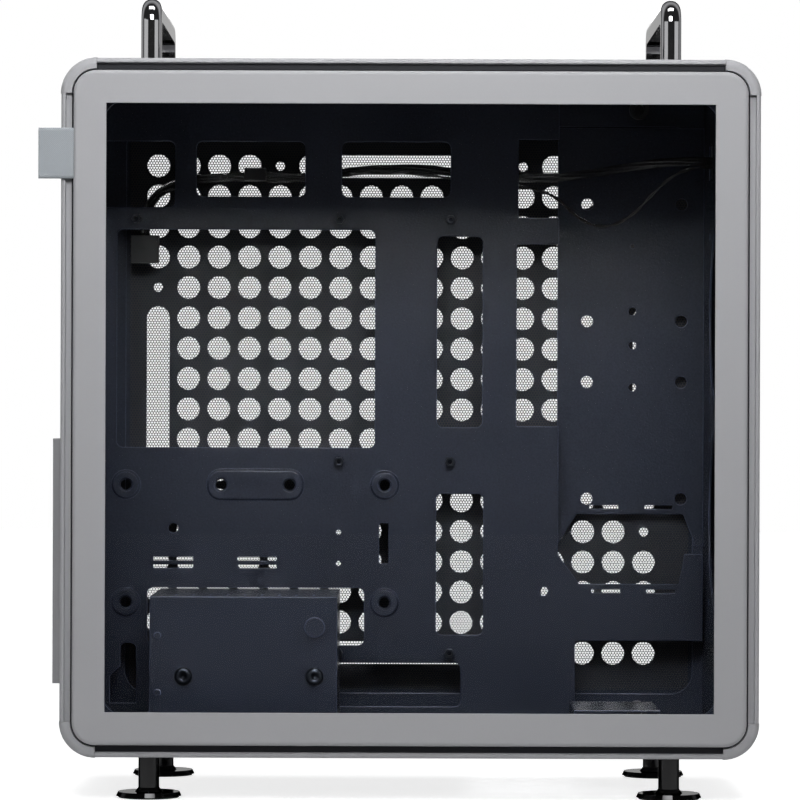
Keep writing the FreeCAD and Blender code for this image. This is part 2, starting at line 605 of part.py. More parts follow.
def rounded_wire(edges, radius):
    """A rectangle with rounded corners in the XZ plane, by its four edges."""
    left, right, low, high = [number(e) for e in edges]
    plate = Part.makePlane(right - left, high - low, Vector(left, 0, low), Vector(0, -1, 0), Vector(1, 0, 0))
    solid = plate.extrude(Vector(0, 1, 0))
    upright = [e for e in solid.Edges if abs(e.BoundBox.YLength - 1) < 1e-6]
    rounded = solid.makeFillet(radius, upright)
    return [f for f in rounded.Faces if f.BoundBox.YMax < 1e-6][0].OuterWire


def vent_holes():
    """Outlines of all openings of the grid: round holes, small holes beside the slots, and the four slots."""
    pitch, rows = number("vent_pitch"), int(number("vent_rows"))
    first = int(number("vent_slot_first"))
    last = rows - 1 - first
    half = (rows - 1) / 2
    centre_x, centre_z = number(MID_X + " + vent_shift"), number(MID_Z)
    round_hole = number("vent_hole / 2") / math.sqrt(math.cos(math.radians(22.5)))
    stretch = pitch * (last - first) / 2
    holes = []
    for i in range(rows):
        for k in range(rows):
            along = k if i in (0, rows - 1) else i if k in (0, rows - 1) else None
            x, z = centre_x + pitch * (i - half), centre_z + pitch * (k - half)
            if along in (first - 1, last + 1):
                holes.append(ring_wire(x, z, number("vent_dimple / 2")))
            elif along is None or not first <= along <= last:
                holes.append(ring_wire(x, z, round_hole))
    for end in (-half, half):
        holes.append(ring_wire(centre_x + pitch * end, centre_z, round_hole, stretch_z=stretch))
        holes.append(ring_wire(centre_x, centre_z + pitch * end, round_hole, stretch_x=stretch))
    return holes


vent_panel = doc.addObject("Part::Feature", "vent_panel")
vent_panel.Label = "vent_panel"
edge_radius = number("corner_radius - " + PANEL_EDGE)
outer_wire = rounded_wire(PANEL_BOX, edge_radius)
return_wire = rounded_wire(inset(PANEL_BOX, "vent_return"), edge_radius - number("vent_return"))
hole_wires = vent_holes()
levels = [Vector(0, number(y), 0) for y in (PANEL_IN, "case_width / 2 - vent_sheet", "case_width / 2")]


def flat_at(level, wires):
    """A flat face at one level, bounded by the first wire and pierced by the others."""
    return Part.makeFace(wires, "Part::FaceMakerBullseye").Faces[0].translated(level)


def walls(wire, low, high):
    """The faces that rise from a wire between two levels."""
    return wire.translated(low).extrude(high - low).Faces


pan_faces = [flat_at(levels[2], [outer_wire] + hole_wires), flat_at(levels[1], [return_wire] + hole_wires),
             flat_at(levels[0], [outer_wire, return_wire])]
pan_faces += walls(outer_wire, levels[0], levels[2]) + walls(return_wire, levels[0], levels[1])
for wire in hole_wires:
    pan_faces += walls(wire, levels[1], levels[2])
pan = Part.makeShell(pan_faces)
pan.sewShape()
vent_panel.Shape = Part.makeSolid(pan)
if vent_panel.Shape.Volume < 0:
    vent_panel.Shape = vent_panel.Shape.reversed()
mesh_left, mesh_right, mesh_low, mesh_high = inset(PANEL_BOX, "mesh_margin")
vent_mesh = box("vent_mesh", (mesh_left, mesh_right),
                ("case_width / 2 - vent_sheet - mesh_thick", "case_width / 2 - vent_sheet"), (mesh_low, mesh_high))
nodes += [vent_panel, vent_mesh]

# Board tray: one folded sheet, its front part set back by a joggle, with an arm below an eight-sided opening
SHEET_LOW = FLOOR + " + " + SHEET_IN
SHEET_HIGH = TOP + " - " + SHEET_IN
SHEET_ROUND = "corner_radius - " + SHEET_IN
JOGGLE = from_rear("joggle_x")
JOGGLE_OUT = JOGGLE + " + tray_sheet"
BOARD_MID_X = "board_hole_x + board_pitch_far"
tray = new_body("motherboard_tray")
plane = new_sketch(tray, "XZ_Plane", "-" + TRAY_Y)
outline(plane, [
    (REAR + " + " + SHEET_IN, SHEET_LOW, SHEET_ROUND), (from_rear("arm_root_x"), SHEET_LOW, None),
    (from_rear("arm_root_x"), from_floor("arm_low"), None), (from_rear("arm_end"), from_floor("arm_low"), None),
    (from_rear("arm_end"), from_floor("arm_post_top"), None),
    (from_rear("arm_post_x"), from_floor("arm_post_top"), None),
    (from_rear("arm_post_x - arm_post_slant"), from_floor("arm_top"), None),
    (from_rear("arm_slope_x"), from_floor("arm_top"), None), (JOGGLE_OUT, from_floor("arm_slope_top"), None),
    (JOGGLE_OUT, SHEET_HIGH, None), (REAR + " + " + SHEET_IN, SHEET_HIGH, SHEET_ROUND)])
pad(tray, plane, "tray_sheet", away=True)
fold = new_sketch(tray, "XY_Plane", from_floor("recess_low"))
outline(fold, [
    (JOGGLE, TRAY_Y, None), (JOGGLE_OUT, TRAY_Y, None), (JOGGLE_OUT, RECESS_Y, None), (WALL_X, RECESS_Y, None),
    (WALL_X, RECESS_Y + " + tray_sheet", None), (JOGGLE, RECESS_Y + " + tray_sheet", None)])
pad(tray, fold, "recess_high - recess_low")

# Stamped bosses round four holes, and the raised oblong between the upper two
BOSSES = [(from_rear("boss_x" + x), from_floor("boss_z" + z)) for x in ("", " + boss_pitch_x")
          for z in ("", " + boss_pitch_z")]
OBLONG_X = "boss_x + boss_pitch_x / 2"
OBLONG_Z = "boss_z + boss_pitch_z"
stamped = new_sketch(tray, "XZ_Plane", "-" + TRAY_Y)
for x, z in BOSSES:
    circle(stamped, x, z, "boss_radius")
rectangle(stamped, from_rear(OBLONG_X + " - oblong_long / 2"), from_rear(OBLONG_X + " + oblong_long / 2"),
          from_floor(OBLONG_Z + " - oblong_high / 2"), from_floor(OBLONG_Z + " + oblong_high / 2"), "oblong_round")
raised = pad(tray, stamped, "boss_height")


def in_boss_face(edge):
    """Whether an edge lies in the face of the stamped bosses."""
    return abs(edge.BoundBox.YMin - number(TRAY_Y + " - boss_height")) < 0.01 and edge.BoundBox.YLength < 0.01


def slope_edges(body, base, size, wanted):
    """Bevel the edges of a body's last feature that pass a test."""
    bevel = body.newObject("PartDesign::Chamfer", size + "_bevel")
    bevel.Base = (base, ["Edge%d" % i for i, edge in enumerate(base.Shape.Edges, start=1) if wanted(edge)])
    bind(bevel, "Size", size)
    doc.recompute()


slope_edges(tray, raised, "boss_slope", in_boss_face)


def punch(draw, items):
    """Punch one small sketch through the tray for each handful of items."""
    handful = 4
    for first in range(0, len(items), handful):
        sketch = new_sketch(tray, "XZ_Plane", "boss_height + cut_over - " + TRAY_Y)
        for item in items[first:first + handful]:
            draw(sketch, *item)
        pocket(tray, sketch)


holes = [(x, z, "boss_hole") for x, z in BOSSES]
holes += [(from_rear("%s %s oblong_pitch / 2" % (OBLONG_X, side)), from_floor(OBLONG_Z), "boss_hole") for side in "-+"]
for x in ("drive_hole_x", "drive_hole_x + drive_pitch_x"):
    for z in ("drive_hole_z", "drive_hole_z + drive_pitch_z", "drive_hole_high", "drive_hole_high + drive_pitch_z"):
        holes.append((JOGGLE_OUT + " + " + x, from_floor(z), "drive_hole"))
punch(circle, holes)
slope_edges(tray, tray.Tip, "boss_sink", lambda edge: in_boss_face(edge) and edge.Curve.TypeId == "Part::GeomCircle"
            and abs(edge.Curve.Radius - number("boss_hole")) < 0.01)
plain_holes = [(from_rear(name + "_x"), from_floor(name + "_z"), name + "_radius") for name in SPARE_HOLES]
plain_holes += [(from_rear(BOARD_MID_X), from_floor("board_hole_z + " + z), "board_small_hole")
                for z in ("board_small_low", "board_small_high")]
punch(circle, plain_holes)
windows = []
for name in TRAY_WINDOWS:
    folded = name.startswith("fold")
    windows.append((from_rear(name + "_left"), JOGGLE_OUT if folded else from_rear(name + "_right"),
                    from_floor(name + "_low"), from_floor(name + "_high"),
                    None if folded else "lance_round" if name == "lance" else "window_round"))
for name in STRAP_SLOTS:
    windows.append((from_rear(name + "_left"), from_rear(name + "_right"),
                    from_floor(name + "_level - thin_slot / 2"), from_floor(name + "_level + thin_slot / 2")))
POST_REAR = MID_X + " - post_x"
for low, high in ((SHEET_LOW + " - cut_over", SHEET_LOW + " + post_notch"),
                  (SHEET_HIGH + " - post_notch", SHEET_HIGH + " + cut_over")):
    windows.append((POST_REAR + " - post_notch", POST_REAR + " + post_notch", low, high))
punch(rectangle, windows)
eight_sided = [
    (JOGGLE_OUT, from_floor("recess_low - cut_over"), None),
    (from_rear("notch_end_x"), from_floor("recess_low - cut_over"), None),
    (from_rear("notch_end_x"), from_floor("notch_end_z"), None),
    (from_rear("notch_right_x"), from_floor("notch_top"), None),
    (from_rear("notch_slope_x"), from_floor("notch_top"), None), (JOGGLE_OUT, from_floor("recess_low"), None)]
keyhole = [
    (from_rear("key_left"), from_floor("key_low"), None), (from_rear("key_right"), from_floor("key_low"), None),
    (from_rear("key_right"), from_floor("key_high"), "key_round"),
    (from_rear("key_mid"), from_floor("key_high"), "key_round"),
    (from_rear("key_mid"), from_floor("key_step + key_mid - key_left"), None),
    (from_rear("key_left"), from_floor("key_step"), None)]
punch(outline, [(eight_sided,), (keyhole,)])
nodes.append(tray)

# Threaded stand-offs in the board's hole pattern
BOARD_MID_Z = "board_hole_z + board_pitch_low"
BOARD_TOP_Z = BOARD_MID_Z + " + board_pitch_high"
BOARD_HOLES = [("board_hole_x", "board_hole_z"), ("board_hole_x", BOARD_MID_Z),
               (BOARD_MID_X + " - board_rear_pitch", BOARD_TOP_Z)]
BOARD_HOLES += [(x, z) for x in (BOARD_MID_X, BOARD_MID_X + " + board_pitch_near")
                for z in ("board_hole_z", BOARD_MID_Z, BOARD_TOP_Z)]
standoffs = []
for i, (x, z) in enumerate(BOARD_HOLES):
    hexagon = doc.addObject("Part::Prism", "standoff_hexagon_%d" % i)
    hexagon.Polygon = 6
    bind(hexagon, "Circumradius", "standoff_radius")
    bind(hexagon, "Height", "standoff_length")
    place(hexagon, from_rear(x), TRAY_Y, from_floor(z), INWARD_FROM_RIGHT)
    bore = cylinder("standoff_bore_%d" % i, "standoff_bore", "standoff_length", from_rear(x), TRAY_Y, from_floor(z),
                    INWARD_FROM_RIGHT)
    standoffs.append(cut("standoff_%d" % i, hexagon, [bore]))
nodes.append(group("board_standoffs", standoffs))

# Drive cage: a folded box, open to the tray and to the floor, with pressed ribs slit along its top
CAGE_LEFT, CAGE_RIGHT = from_rear("cage_x"), from_rear("cage_x + cage_wide")
CAGE_TOP = SHEET_LOW + " + cage_high"
CAGE_Y = "(" + TRAY_Y + " - cage_reach)"
cage = new_body("drive_cage")
face = new_sketch(cage, "XZ_Plane", "-" + CAGE_Y)
rectangle(face, CAGE_LEFT, CAGE_RIGHT, SHEET_LOW, CAGE_TOP)
pad(cage, face, "cage_reach", away=True)
inside = new_sketch(cage, "XZ_Plane", "-" + TRAY_Y)
rectangle(inside, CAGE_LEFT + " + cage_sheet", CAGE_RIGHT + " - cage_sheet", SHEET_LOW + " - cut_over",
          CAGE_TOP + " - cage_sheet")
pocket(cage, inside, "cage_reach - cage_sheet", away=True)
rib = new_sketch(cage, "XY_Plane", CAGE_TOP)
RIB_X = CAGE_LEFT + " + cage_wide / 2 - cage_rib_pitch * (cage_rib_count - 1) / 2"
rectangle(rib, RIB_X + " - cage_rib / 2", RIB_X + " + cage_rib / 2", CAGE_Y + " + cage_rib_long",
          CAGE_Y + " + 2 * cage_rib_long")
pattern(cage, pocket(cage, rib), rib, "H_Axis", "cage_rib_pitch", "cage_rib_count")
dome = new_sketch(cage, "XZ_Plane", "-" + CAGE_Y)
circle(dome, CAGE_LEFT + " + cage_screw_x + cage_screw_pitch", SHEET_LOW + " + cage_dome_z", "cage_dome_radius")
pad(cage, dome, "cage_dome_high")
rivets = new_sketch(cage, "XZ_Plane", "-" + CAGE_Y)
for z in ("cage_rivet_z", "cage_rivet_z + cage_rivet_pitch"):
    circle(rivets, CAGE_LEFT + " + cage_rivet_x", SHEET_LOW + " + " + z, "cage_rivet_radius")
pad(cage, rivets, "cage_rivet_high")
CAGE_SCREWS = [(CAGE_LEFT + " + cage_screw_x" + x, SHEET_LOW + " + cage_screw_z") for x in ("", " + cage_screw_pitch")]
screw_holes = new_sketch(cage, "XZ_Plane", "-" + CAGE_Y)
for x, z in CAGE_SCREWS:
    circle(screw_holes, x, z, "cage_screw_shank + screw_play")
pocket(cage, screw_holes, "cage_sheet")
heel = new_sketch(cage, "YZ_Plane", CAGE_LEFT + " - cut_over")
rectangle(heel, "post_y - cage_notch", TRAY_Y + " + cut_over", SHEET_LOW + " - cut_over", SHEET_LOW + " + post_notch")
pocket(cage, heel, "cage_notch", away=True)
post_relief = new_sketch(cage, "YZ_Plane", CAGE_RIGHT + " + cut_over")
rectangle(post_relief, TRAY_Y + " - standoff_length - relief", TRAY_Y + " + cut_over",
          from_floor("board_hole_z - standoff_radius - relief"), from_floor("board_hole_z + standoff_radius + relief"))
pocket(cage, post_relief, "cage_notch")
drive_screws = []
for i, (x, z) in enumerate(CAGE_SCREWS):
    head = cylinder("drive_head_%d" % i, "cage_screw_head", "cage_screw_deep", x, CAGE_Y, z, INWARD_FROM_RIGHT)
    shank = cylinder("drive_shank_%d" % i, "cage_screw_shank", "cage_screw_deep", x, CAGE_Y, z, ALONG_Y)
    drive_screws.append(fuse("drive_screw_%d" % i, [head, shank]))
nodes += [cage, group("drive_screws", drive_screws)]

# Power supply shelf: a channel folded from sheet, on the floor near the front
shelf = new_body("power_supply_shelf")
channel = new_sketch(shelf, "XZ_Plane", "shelf_long / 2 - shelf_y")
SHELF_LEFT, SHELF_RIGHT = from_rear("shelf_x"), from_rear("shelf_x + shelf_wide")
SHELF_TOP = SHEET_LOW + " + shelf_high"
outline(channel, [
    (SHELF_LEFT, SHEET_LOW, None), (SHELF_LEFT + " + shelf_sheet", SHEET_LOW, None),
    (SHELF_LEFT + " + shelf_sheet", SHELF_TOP + " - shelf_sheet", None),
    (SHELF_RIGHT + " - shelf_sheet", SHELF_TOP + " - shelf_sheet", None),
    (SHELF_RIGHT + " - shelf_sheet", SHEET_LOW, None), (SHELF_RIGHT, SHEET_LOW, None),
    (SHELF_RIGHT, SHELF_TOP, None), (SHELF_LEFT, SHELF_TOP, None)])
pad(shelf, channel, "shelf_long", away=True)
nodes.append(shelf)

# Wall behind the front panel, with two fan openings, their screw holes and the hole for the leads
wall = new_body("front_wall")
sheet_plan = new_sketch(wall, "YZ_Plane", WALL_X)
rectangle(sheet_plan, "-" + FRAME_Y, FRAME_Y, SHEET_LOW, SHEET_HIGH)
for level in ("fan_high_z", "fan_low_z"):
    circle(sheet_plan, "0", from_floor(level), "fan_opening / 2")
    for y in ("-fan_pitch / 2", "fan_pitch / 2"):
        for z in (" - fan_pitch / 2", " + fan_pitch / 2"):
            circle(sheet_plan, y, from_floor(level + z), "fan_hole")
rectangle(sheet_plan, "lead_hole_y - lead_hole_wide / 2", "lead_hole_y + lead_hole_wide / 2",
          from_floor("lead_hole_z - lead_hole_high / 2"), from_floor("lead_hole_z + lead_hole_high / 2"))
pad(wall, sheet_plan, "wall_sheet")
nodes.append(wall)


def turned(label, corners, x, y, z, turn=None):
    """A turned piece: corners are (radius, height) along its axis, with a rounding where one is given."""
    body = new_body(label, x, y, z, turn)
    sketch = new_sketch(body, "XZ_Plane")
    outline(sketch, corners)
    revolve(body, sketch, "V_Axis")
    return body


# Front sockets: a moulded housing between the wall and the front panel, with two sprung buttons
PANEL_OUT = FRONT + " - corner_proud"
PANEL_BACK = FRONT + " - " + SHEET_IN
HOUSING_BACK = WALL_X + " + wall_sheet"
SOCKET_Z = from_floor("socket_z")
housing = new_body("socket_housing")
block = new_sketch(housing, "YZ_Plane", HOUSING_BACK)
rectangle(block, "-housing_wide / 2", "housing_wide / 2", from_floor("housing_low"), from_floor("housing_high"))
pad(housing, block, "wall_inset - wall_sheet - " + SHEET_IN)
wells = new_sketch(housing, "YZ_Plane", PANEL_BACK)
circle(wells, "power_y", SOCKET_Z, "power_radius + button_play")
circle(wells, "reset_y", SOCKET_Z, "reset_radius + button_play")
pocket(housing, wells, "button_long - button_proud - skin + button_travel + button_play")
seats = new_sketch(housing, "YZ_Plane", PANEL_BACK)
circle(seats, "audio_y", SOCKET_Z, "audio_radius + socket_play")
for y, wide, tall in USB_SOCKETS:
    rectangle(seats, "%s - %s / 2 - socket_play" % (y, tall), "%s + %s / 2 + socket_play" % (y, tall),
              "%s - %s / 2 - socket_play" % (SOCKET_Z, wide), "%s + %s / 2 + socket_play" % (SOCKET_Z, wide))
pocket(housing, seats, "socket_deep - skin")
nodes.append(housing)
for name in ("power", "reset"):
    radius = name + "_radius"
    nodes.append(turned(name + "_button", [
        ("0", "0", None), (radius, "0", None), (radius, "button_long", "button_edge"), ("0", "button_long", None)],
        PANEL_OUT + " + button_proud - button_long", name + "_y", SOCKET_Z, ALONG_X))


def socket_box(label, socket, less):
    """A block of a socket's depth and outline, smaller by some thickness on its back and sides."""
    y, wide, tall = socket
    return box(label, ("%s - socket_deep + %s" % (PANEL_OUT, less), PANEL_OUT),
               ("%s - %s / 2 + %s" % (y, tall, less), "%s + %s / 2 - %s" % (y, tall, less)),
               ("%s - %s / 2 + %s" % (SOCKET_Z, wide, less), "%s + %s / 2 - %s" % (SOCKET_Z, wide, less)))


shells = []
for i, socket in enumerate(USB_SOCKETS):
    hollow = socket_box("usb_inner_%d" % i, socket, "usb_shell")
    shells.append(cut("usb_%d" % i, socket_box("usb_outer_%d" % i, socket, "0"), [hollow]))
nodes.append(group("usb_sockets", shells))
JACK_BACK = PANEL_OUT + " - socket_deep"
jack = cylinder("audio_body", "audio_radius", "socket_deep", JACK_BACK, "audio_y", SOCKET_Z, ALONG_X)
jack_bore = cylinder("audio_bore_tool", "audio_bore", "socket_deep - usb_shell", JACK_BACK + " + usb_shell", "audio_y",
                     SOCKET_Z, ALONG_X)
nodes.append(cut("audio_socket", jack, [jack_bore]))

# Dust filters against the slotted skins
FIELD_Y = "(slot_pitch * (%s - 1) / 2 + slot_wide / 2 + filter_margin)"
top_y = FIELD_Y % "slot_count"
top_x = "(slot_spread + slot_long / 2 + filter_margin)"
nodes.append(box("top_filter", (MID_X + " - " + top_x, MID_X + " + " + top_x), ("-" + top_y, top_y),
                 (SHEET_HIGH + " - filter_thick", SHEET_HIGH)))
front_y = FIELD_Y % "front_slot_count"
nodes.append(box("front_filter", (PANEL_BACK + " - filter_thick", PANEL_BACK), ("-" + front_y, front_y),
                 (from_floor("front_slot_low - filter_margin"),
                  from_floor("front_slot_low + front_slot_long + filter_margin"))))

# Expansion slots: a ledge on the rear panel takes the tab of each cover, under an outer shield
LEDGE_Y = SLIT_Y + " + slit_wide"
REAR_OUT = REAR + " + corner_proud"
REAR_BACK = REAR + " + " + SHEET_IN
ledge = new_sketch(rear_panel, "XY_Plane")
rectangle(ledge, rear_level("slot_first_z - expansion_pitch / 2"),
          rear_level("slot_first_z + expansion_pitch * (expansion_count - 0.5)"), LEDGE_Y, LEDGE_Y + " + ledge_thick")
pad(rear_panel, ledge, "cover_tab")
tap = new_sketch(rear_panel, "XZ_Plane")
circle(tap, rear_level("slot_first_z"), "cover_tab / 2", "slot_screw_radius + screw_play")
pattern(rear_panel, pocket(rear_panel, tap, away=True), tap, "H_Axis", "expansion_pitch",
        "expansion_count")
slot_screws = []
for i in range(int(number("expansion_count"))):
    height = from_floor("slot_first_z + %d * expansion_pitch" % i)
    cover = new_body("slot_cover_%d" % (i + 1))
    fold = new_sketch(cover, "XY_Plane", height + " - cover_wide / 2")
    outline(fold, [
        (REAR_OUT + " - cover_tab", LEDGE_Y, None), (REAR_OUT + " - cover_tab", LEDGE_Y + " - cover_thick", None),
        (REAR_BACK + " + cover_thick", LEDGE_Y + " - cover_thick", None),
        (REAR_BACK + " + cover_thick", "expansion_high_y + cover_lap", None),
        (REAR_BACK, "expansion_high_y + cover_lap", None), (REAR_BACK, LEDGE_Y, None)])
    pad(cover, fold, "cover_wide")
    hole = new_sketch(cover, "XZ_Plane", "cut_over - (%s - cover_thick)" % LEDGE_Y)
    circle(hole, REAR_OUT + " - cover_tab / 2", height, "slot_screw_radius + screw_play")
    pocket(cover, hole, "cover_thick + 2 * cut_over")
    nodes.append(cover)
    place_y = LEDGE_Y + " - cover_thick"
    head = cylinder("slot_head_%d" % i, "slot_screw_head", "slot_screw_high", REAR_OUT + " - cover_tab / 2", place_y,
                    height, INWARD_FROM_RIGHT)
    shank = cylinder("slot_shank_%d" % i, "slot_screw_radius", "cover_thick + ledge_thick", REAR_OUT + " - cover_tab / 2",
                     place_y, height, ALONG_Y)
    slot_screws.append(fuse("slot_screw_%d" % i, [head, shank]))
nodes.append(group("slot_screws", slot_screws))
SHIELD_X = REAR_OUT + " - shield_deep"
SHIELD_Z = from_floor("shield_low")
shield = box("shield_outer", (SHIELD_X, REAR_OUT), ("shield_y", "shield_y + shield_wide"),
             (SHIELD_Z, SHIELD_Z + " + shield_high"))
hollow = box("shield_inner", (SHIELD_X + " + shield_sheet", REAR_OUT + " + cut_over"),
             ("shield_y + shield_sheet", "shield_y + shield_wide - shield_sheet"),
             (SHIELD_Z + " + shield_sheet", SHIELD_Z + " + shield_high - shield_sheet"))
nodes.append(cut("slot_shield", shield, [hollow]))


# Handles: a flat bar bent to a U and softened all round its outer side
def handle(label, x):
    """One handle over the top panel, with a screw hole up each post."""
    body = new_body(label, x, "0", TOP + " - corner_proud")
    sketch = new_sketch(body, "YZ_Plane", "-handle_wide / 2")
    half = "(post_y + handle_post / 2)"
    gap = "(post_y - handle_post / 2)"
    outline(sketch, [
        ("-" + half, "0", None), ("-" + gap, "0", None), ("-" + gap, "handle_high - handle_bar", "handle_inner"),
        (gap, "handle_high - handle_bar", "handle_inner"), (gap, "0", None), (half, "0", None),
        (half, "handle_high", "handle_bend"), ("-" + half, "handle_high", "handle_bend")])
    bar = pad(body, sketch, "handle_wide")
    soft = body.newObject("PartDesign::Fillet", label + "_soft")
    side, top, reach = number("handle_wide / 2"), number("handle_high"), number(half)
    names = []
    for i, edge in enumerate(bar.Shape.Edges, start=1):
        at = edge.valueAt((edge.FirstParameter + edge.LastParameter) / 2)
        bend = edge.Curve.TypeId == "Part::GeomCircle" and abs(edge.Curve.Radius - number("handle_bend")) < 0.01
        outer = abs(abs(at.y) - reach) < 0.01 or abs(at.z - top) < 0.01 or bend
        if outer and abs(abs(at.x) - side) < 0.01 and edge.BoundBox.XLength < 0.01:
            names.append("Edge%d" % i)
    soft.Base = (bar, names)
    bind(soft, "Radius", "handle_soft")
    doc.recompute()
    holes = new_sketch(body, "XY_Plane")
    for y in ("-post_y", "post_y"):
        circle(holes, "0", y, "screw_radius + screw_play")
    pocket(body, holes, "screw_deep", away=True)
    return body


nodes += [handle("handle_rear", MID_X + " - post_x"), handle("handle_front", MID_X + " + post_x")]

# Round feet with rubber pads, and the screws that hold feet and handles from inside
FOOT_TOP = FLOOR + " + corner_proud"
foot_screws, handle_screws = [], []
for end, x in (("rear", MID_X + " - post_x"), ("front", MID_X + " + post_x")):
    for side, y in (("left", "-post_y"), ("right", "post_y")):
        name = "%s_%s" % (end, side)
        disc_top = "pad_thick + foot_disc"
        nodes.append(turned("foot_" + name, [
            ("0", "pad_thick", None), ("foot_radius", "pad_thick", None), ("foot_radius - foot_taper", disc_top, None),
            ("foot_collar", disc_top, None), ("foot_stem", disc_top + " + foot_collar_high", None),
            ("foot_stem", FOOT_TOP, None), ("screw_radius + screw_play", FOOT_TOP, None),
            ("screw_radius + screw_play", FOOT_TOP + " - screw_deep", None), ("0", FOOT_TOP + " - screw_deep", None)],
            x, y, "0"))
        nodes.append(cylinder("foot_pad_" + name, "pad_radius", "pad_thick", x, y, "0"))
        head = cylinder("foot_head_" + name, "screw_head", "screw_head_high", x, y, SHEET_LOW)
        shank = cylinder("foot_shank_" + name, "screw_radius", "screw_deep + skin - screw_end", x, y,
                         FOOT_TOP + " - screw_deep + screw_end")
        foot_screws.append(fuse("foot_screw_" + name, [head, shank]))
        head = cylinder("handle_head_" + name, "screw_head", "screw_head_high", x, y, SHEET_HIGH + " - screw_head_high")
        shank = cylinder("handle_shank_" + name, "screw_radius", "screw_deep + skin - screw_end", x, y, SHEET_HIGH)
        handle_screws.append(fuse("handle_screw_" + name, [head, shank]))
nodes += [group("foot_screws", foot_screws), group("handle_screws", handle_screws)]

# Leads of the front sockets, by points from the middle of the case: straight runs joined by tangent arcs
SOCKET_ROUTE = [(194.2, 50, 160), (165, 50, 160), (136, 63, 156), (112, 84, 153), (85, 93, 151), (45, 93, 153),
                (5, 93, 158), (-35, 93, 156), (-75, 93, 150), (-113, 93, 152), (-148, 93, 150), (-173, 92, 136),
                (-173, 92, 113)]
SWITCH_ROUTE = [(194.2, 42, 156), (181, 42, 156), (167, 46, 150), (155, 54, 138), (144, 63, 126), (131, 72, 119),
                (117, 80, 120), (106, 87, 128), (97, 91, 138), (84, 92, 144), (66, 89, 146), (42, 88, 148),
                (14, 88, 153), (-18, 88, 155), (-50, 88, 152), (-72, 87, 153), (-94, 87, 153)]


def lead(label, route, radius):
    """A round lead along a route, every corner turned by the largest arc that its two runs allow."""
    middle = Vector(number(MID_X), 0, number(MID_Z))
    points = [middle + Vector(*p) for p in route]
    edges = []
    start = points[0]
    radii = []
    for before, corner, after in zip(points, points[1:], points[2:]):
        back, ahead = before - corner, after - corner
        half = (math.pi - back.getAngle(ahead)) / 2
        trim = 0.45 * min(back.Length, ahead.Length)
        radii.append(trim / math.tan(half))
        back.normalize()
        ahead.normalize()
        enter, leave = corner + back * trim, corner + ahead * trim
        inward = (back + ahead).normalize()
        top = corner + inward * (radii[-1] / math.cos(half) - radii[-1])
        edges += [Part.LineSegment(start, enter).toShape(), Part.Arc(enter, top, leave).toShape()]
        start = leave
    edges.append(Part.LineSegment(start, points[-1]).toShape())
    path = Part.Wire(edges)
    size = number(radius)
    section = Part.Wire(Part.makeCircle(size, points[0], points[1] - points[0]))
    tube = path.makePipeShell([section], True, False)
    ratio = tube.Volume / (math.pi * size * size * path.Length)
    print("%s: length %.0f, volume ratio %.3f, radii %s" % (label, path.Length, ratio, [round(r) for r in radii]))
    piece = doc.addObject("Part::Feature", label)
    piece.Label = label
    piece.Shape = tube
    return piece


def beside(route, axis, offset):
    """A place beside the end of a route, as a formula."""
    return "%s + (%g) + (%s)" % ((MID_X, "0", MID_Z)[axis], route[-1][axis], offset)


nodes += [lead("socket_cable", SOCKET_ROUTE, "cable_radius"), lead("switch_lead", SWITCH_ROUTE, "lead_radius")]
nodes.append(box("socket_plug",
                 (beside(SOCKET_ROUTE, 0, "-plug_wide / 2"), beside(SOCKET_ROUTE, 0, "plug_wide / 2")),
                 (beside(SOCKET_ROUTE, 1, "-plug_thick / 2"), beside(SOCKET_ROUTE, 1, "plug_thick / 2")),
                 (beside(SOCKET_ROUTE, 2, "-plug_high"), beside(SOCKET_ROUTE, 2, "0"))))
nodes.append(box("switch_plug",
                 (beside(SWITCH_ROUTE, 0, "-small_plug_long"), beside(SWITCH_ROUTE, 0, "0")),
                 (beside(SWITCH_ROUTE, 1, "-small_plug_thick / 2"), beside(SWITCH_ROUTE, 1, "small_plug_thick / 2")),
                 (beside(SWITCH_ROUTE, 2, "-small_plug_high / 2"), beside(SWITCH_ROUTE, 2, "small_plug_high / 2"))))
ties = []
for i, x in enumerate(("tie_front_x", "tie_mid_x", "tie_rear_x")):
    edges = (from_rear(x + " - tie_wide / 2"), from_rear(x + " + tie_wide / 2"))
    back = TRAY_Y + " + tray_sheet"
    low, high = from_floor("tie_z"), from_floor("tie_z + tie_high")
    band = box("tie_band_%d" % i, edges, (back, back + " + tie_deep"), (low, high))
    gap = box("tie_gap_%d" % i, edges, (back + " + tie_band", back + " + tie_deep - tie_band"),
              (low + " + tie_band", high + " - tie_band"))
    ties.append(cut("tie_%d" % i, band, [gap]))
nodes.append(group("cable_ties", ties))

# Check every object, then write one file for each piece
doc.recompute()
for thing in doc.Objects:
    if "Invalid" in thing.State or "Error" in thing.State:
        raise RuntimeError("%s failed: %s" % (thing.Label, thing.State))
os.makedirs("parts", exist_ok=True)
for node in nodes:
    if node.Shape.isNull() or not node.Shape.isValid() or node.Shape.Volume <= 0:
        raise RuntimeError("%s has no sound shape" % node.Label)
for node in nodes:
    node.Shape.exportStep("parts/%s.step" % node.Label)
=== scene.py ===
"""Finishes, soft pieces and studio of a computer case: a Blender add-on that also runs as a script."""
import math

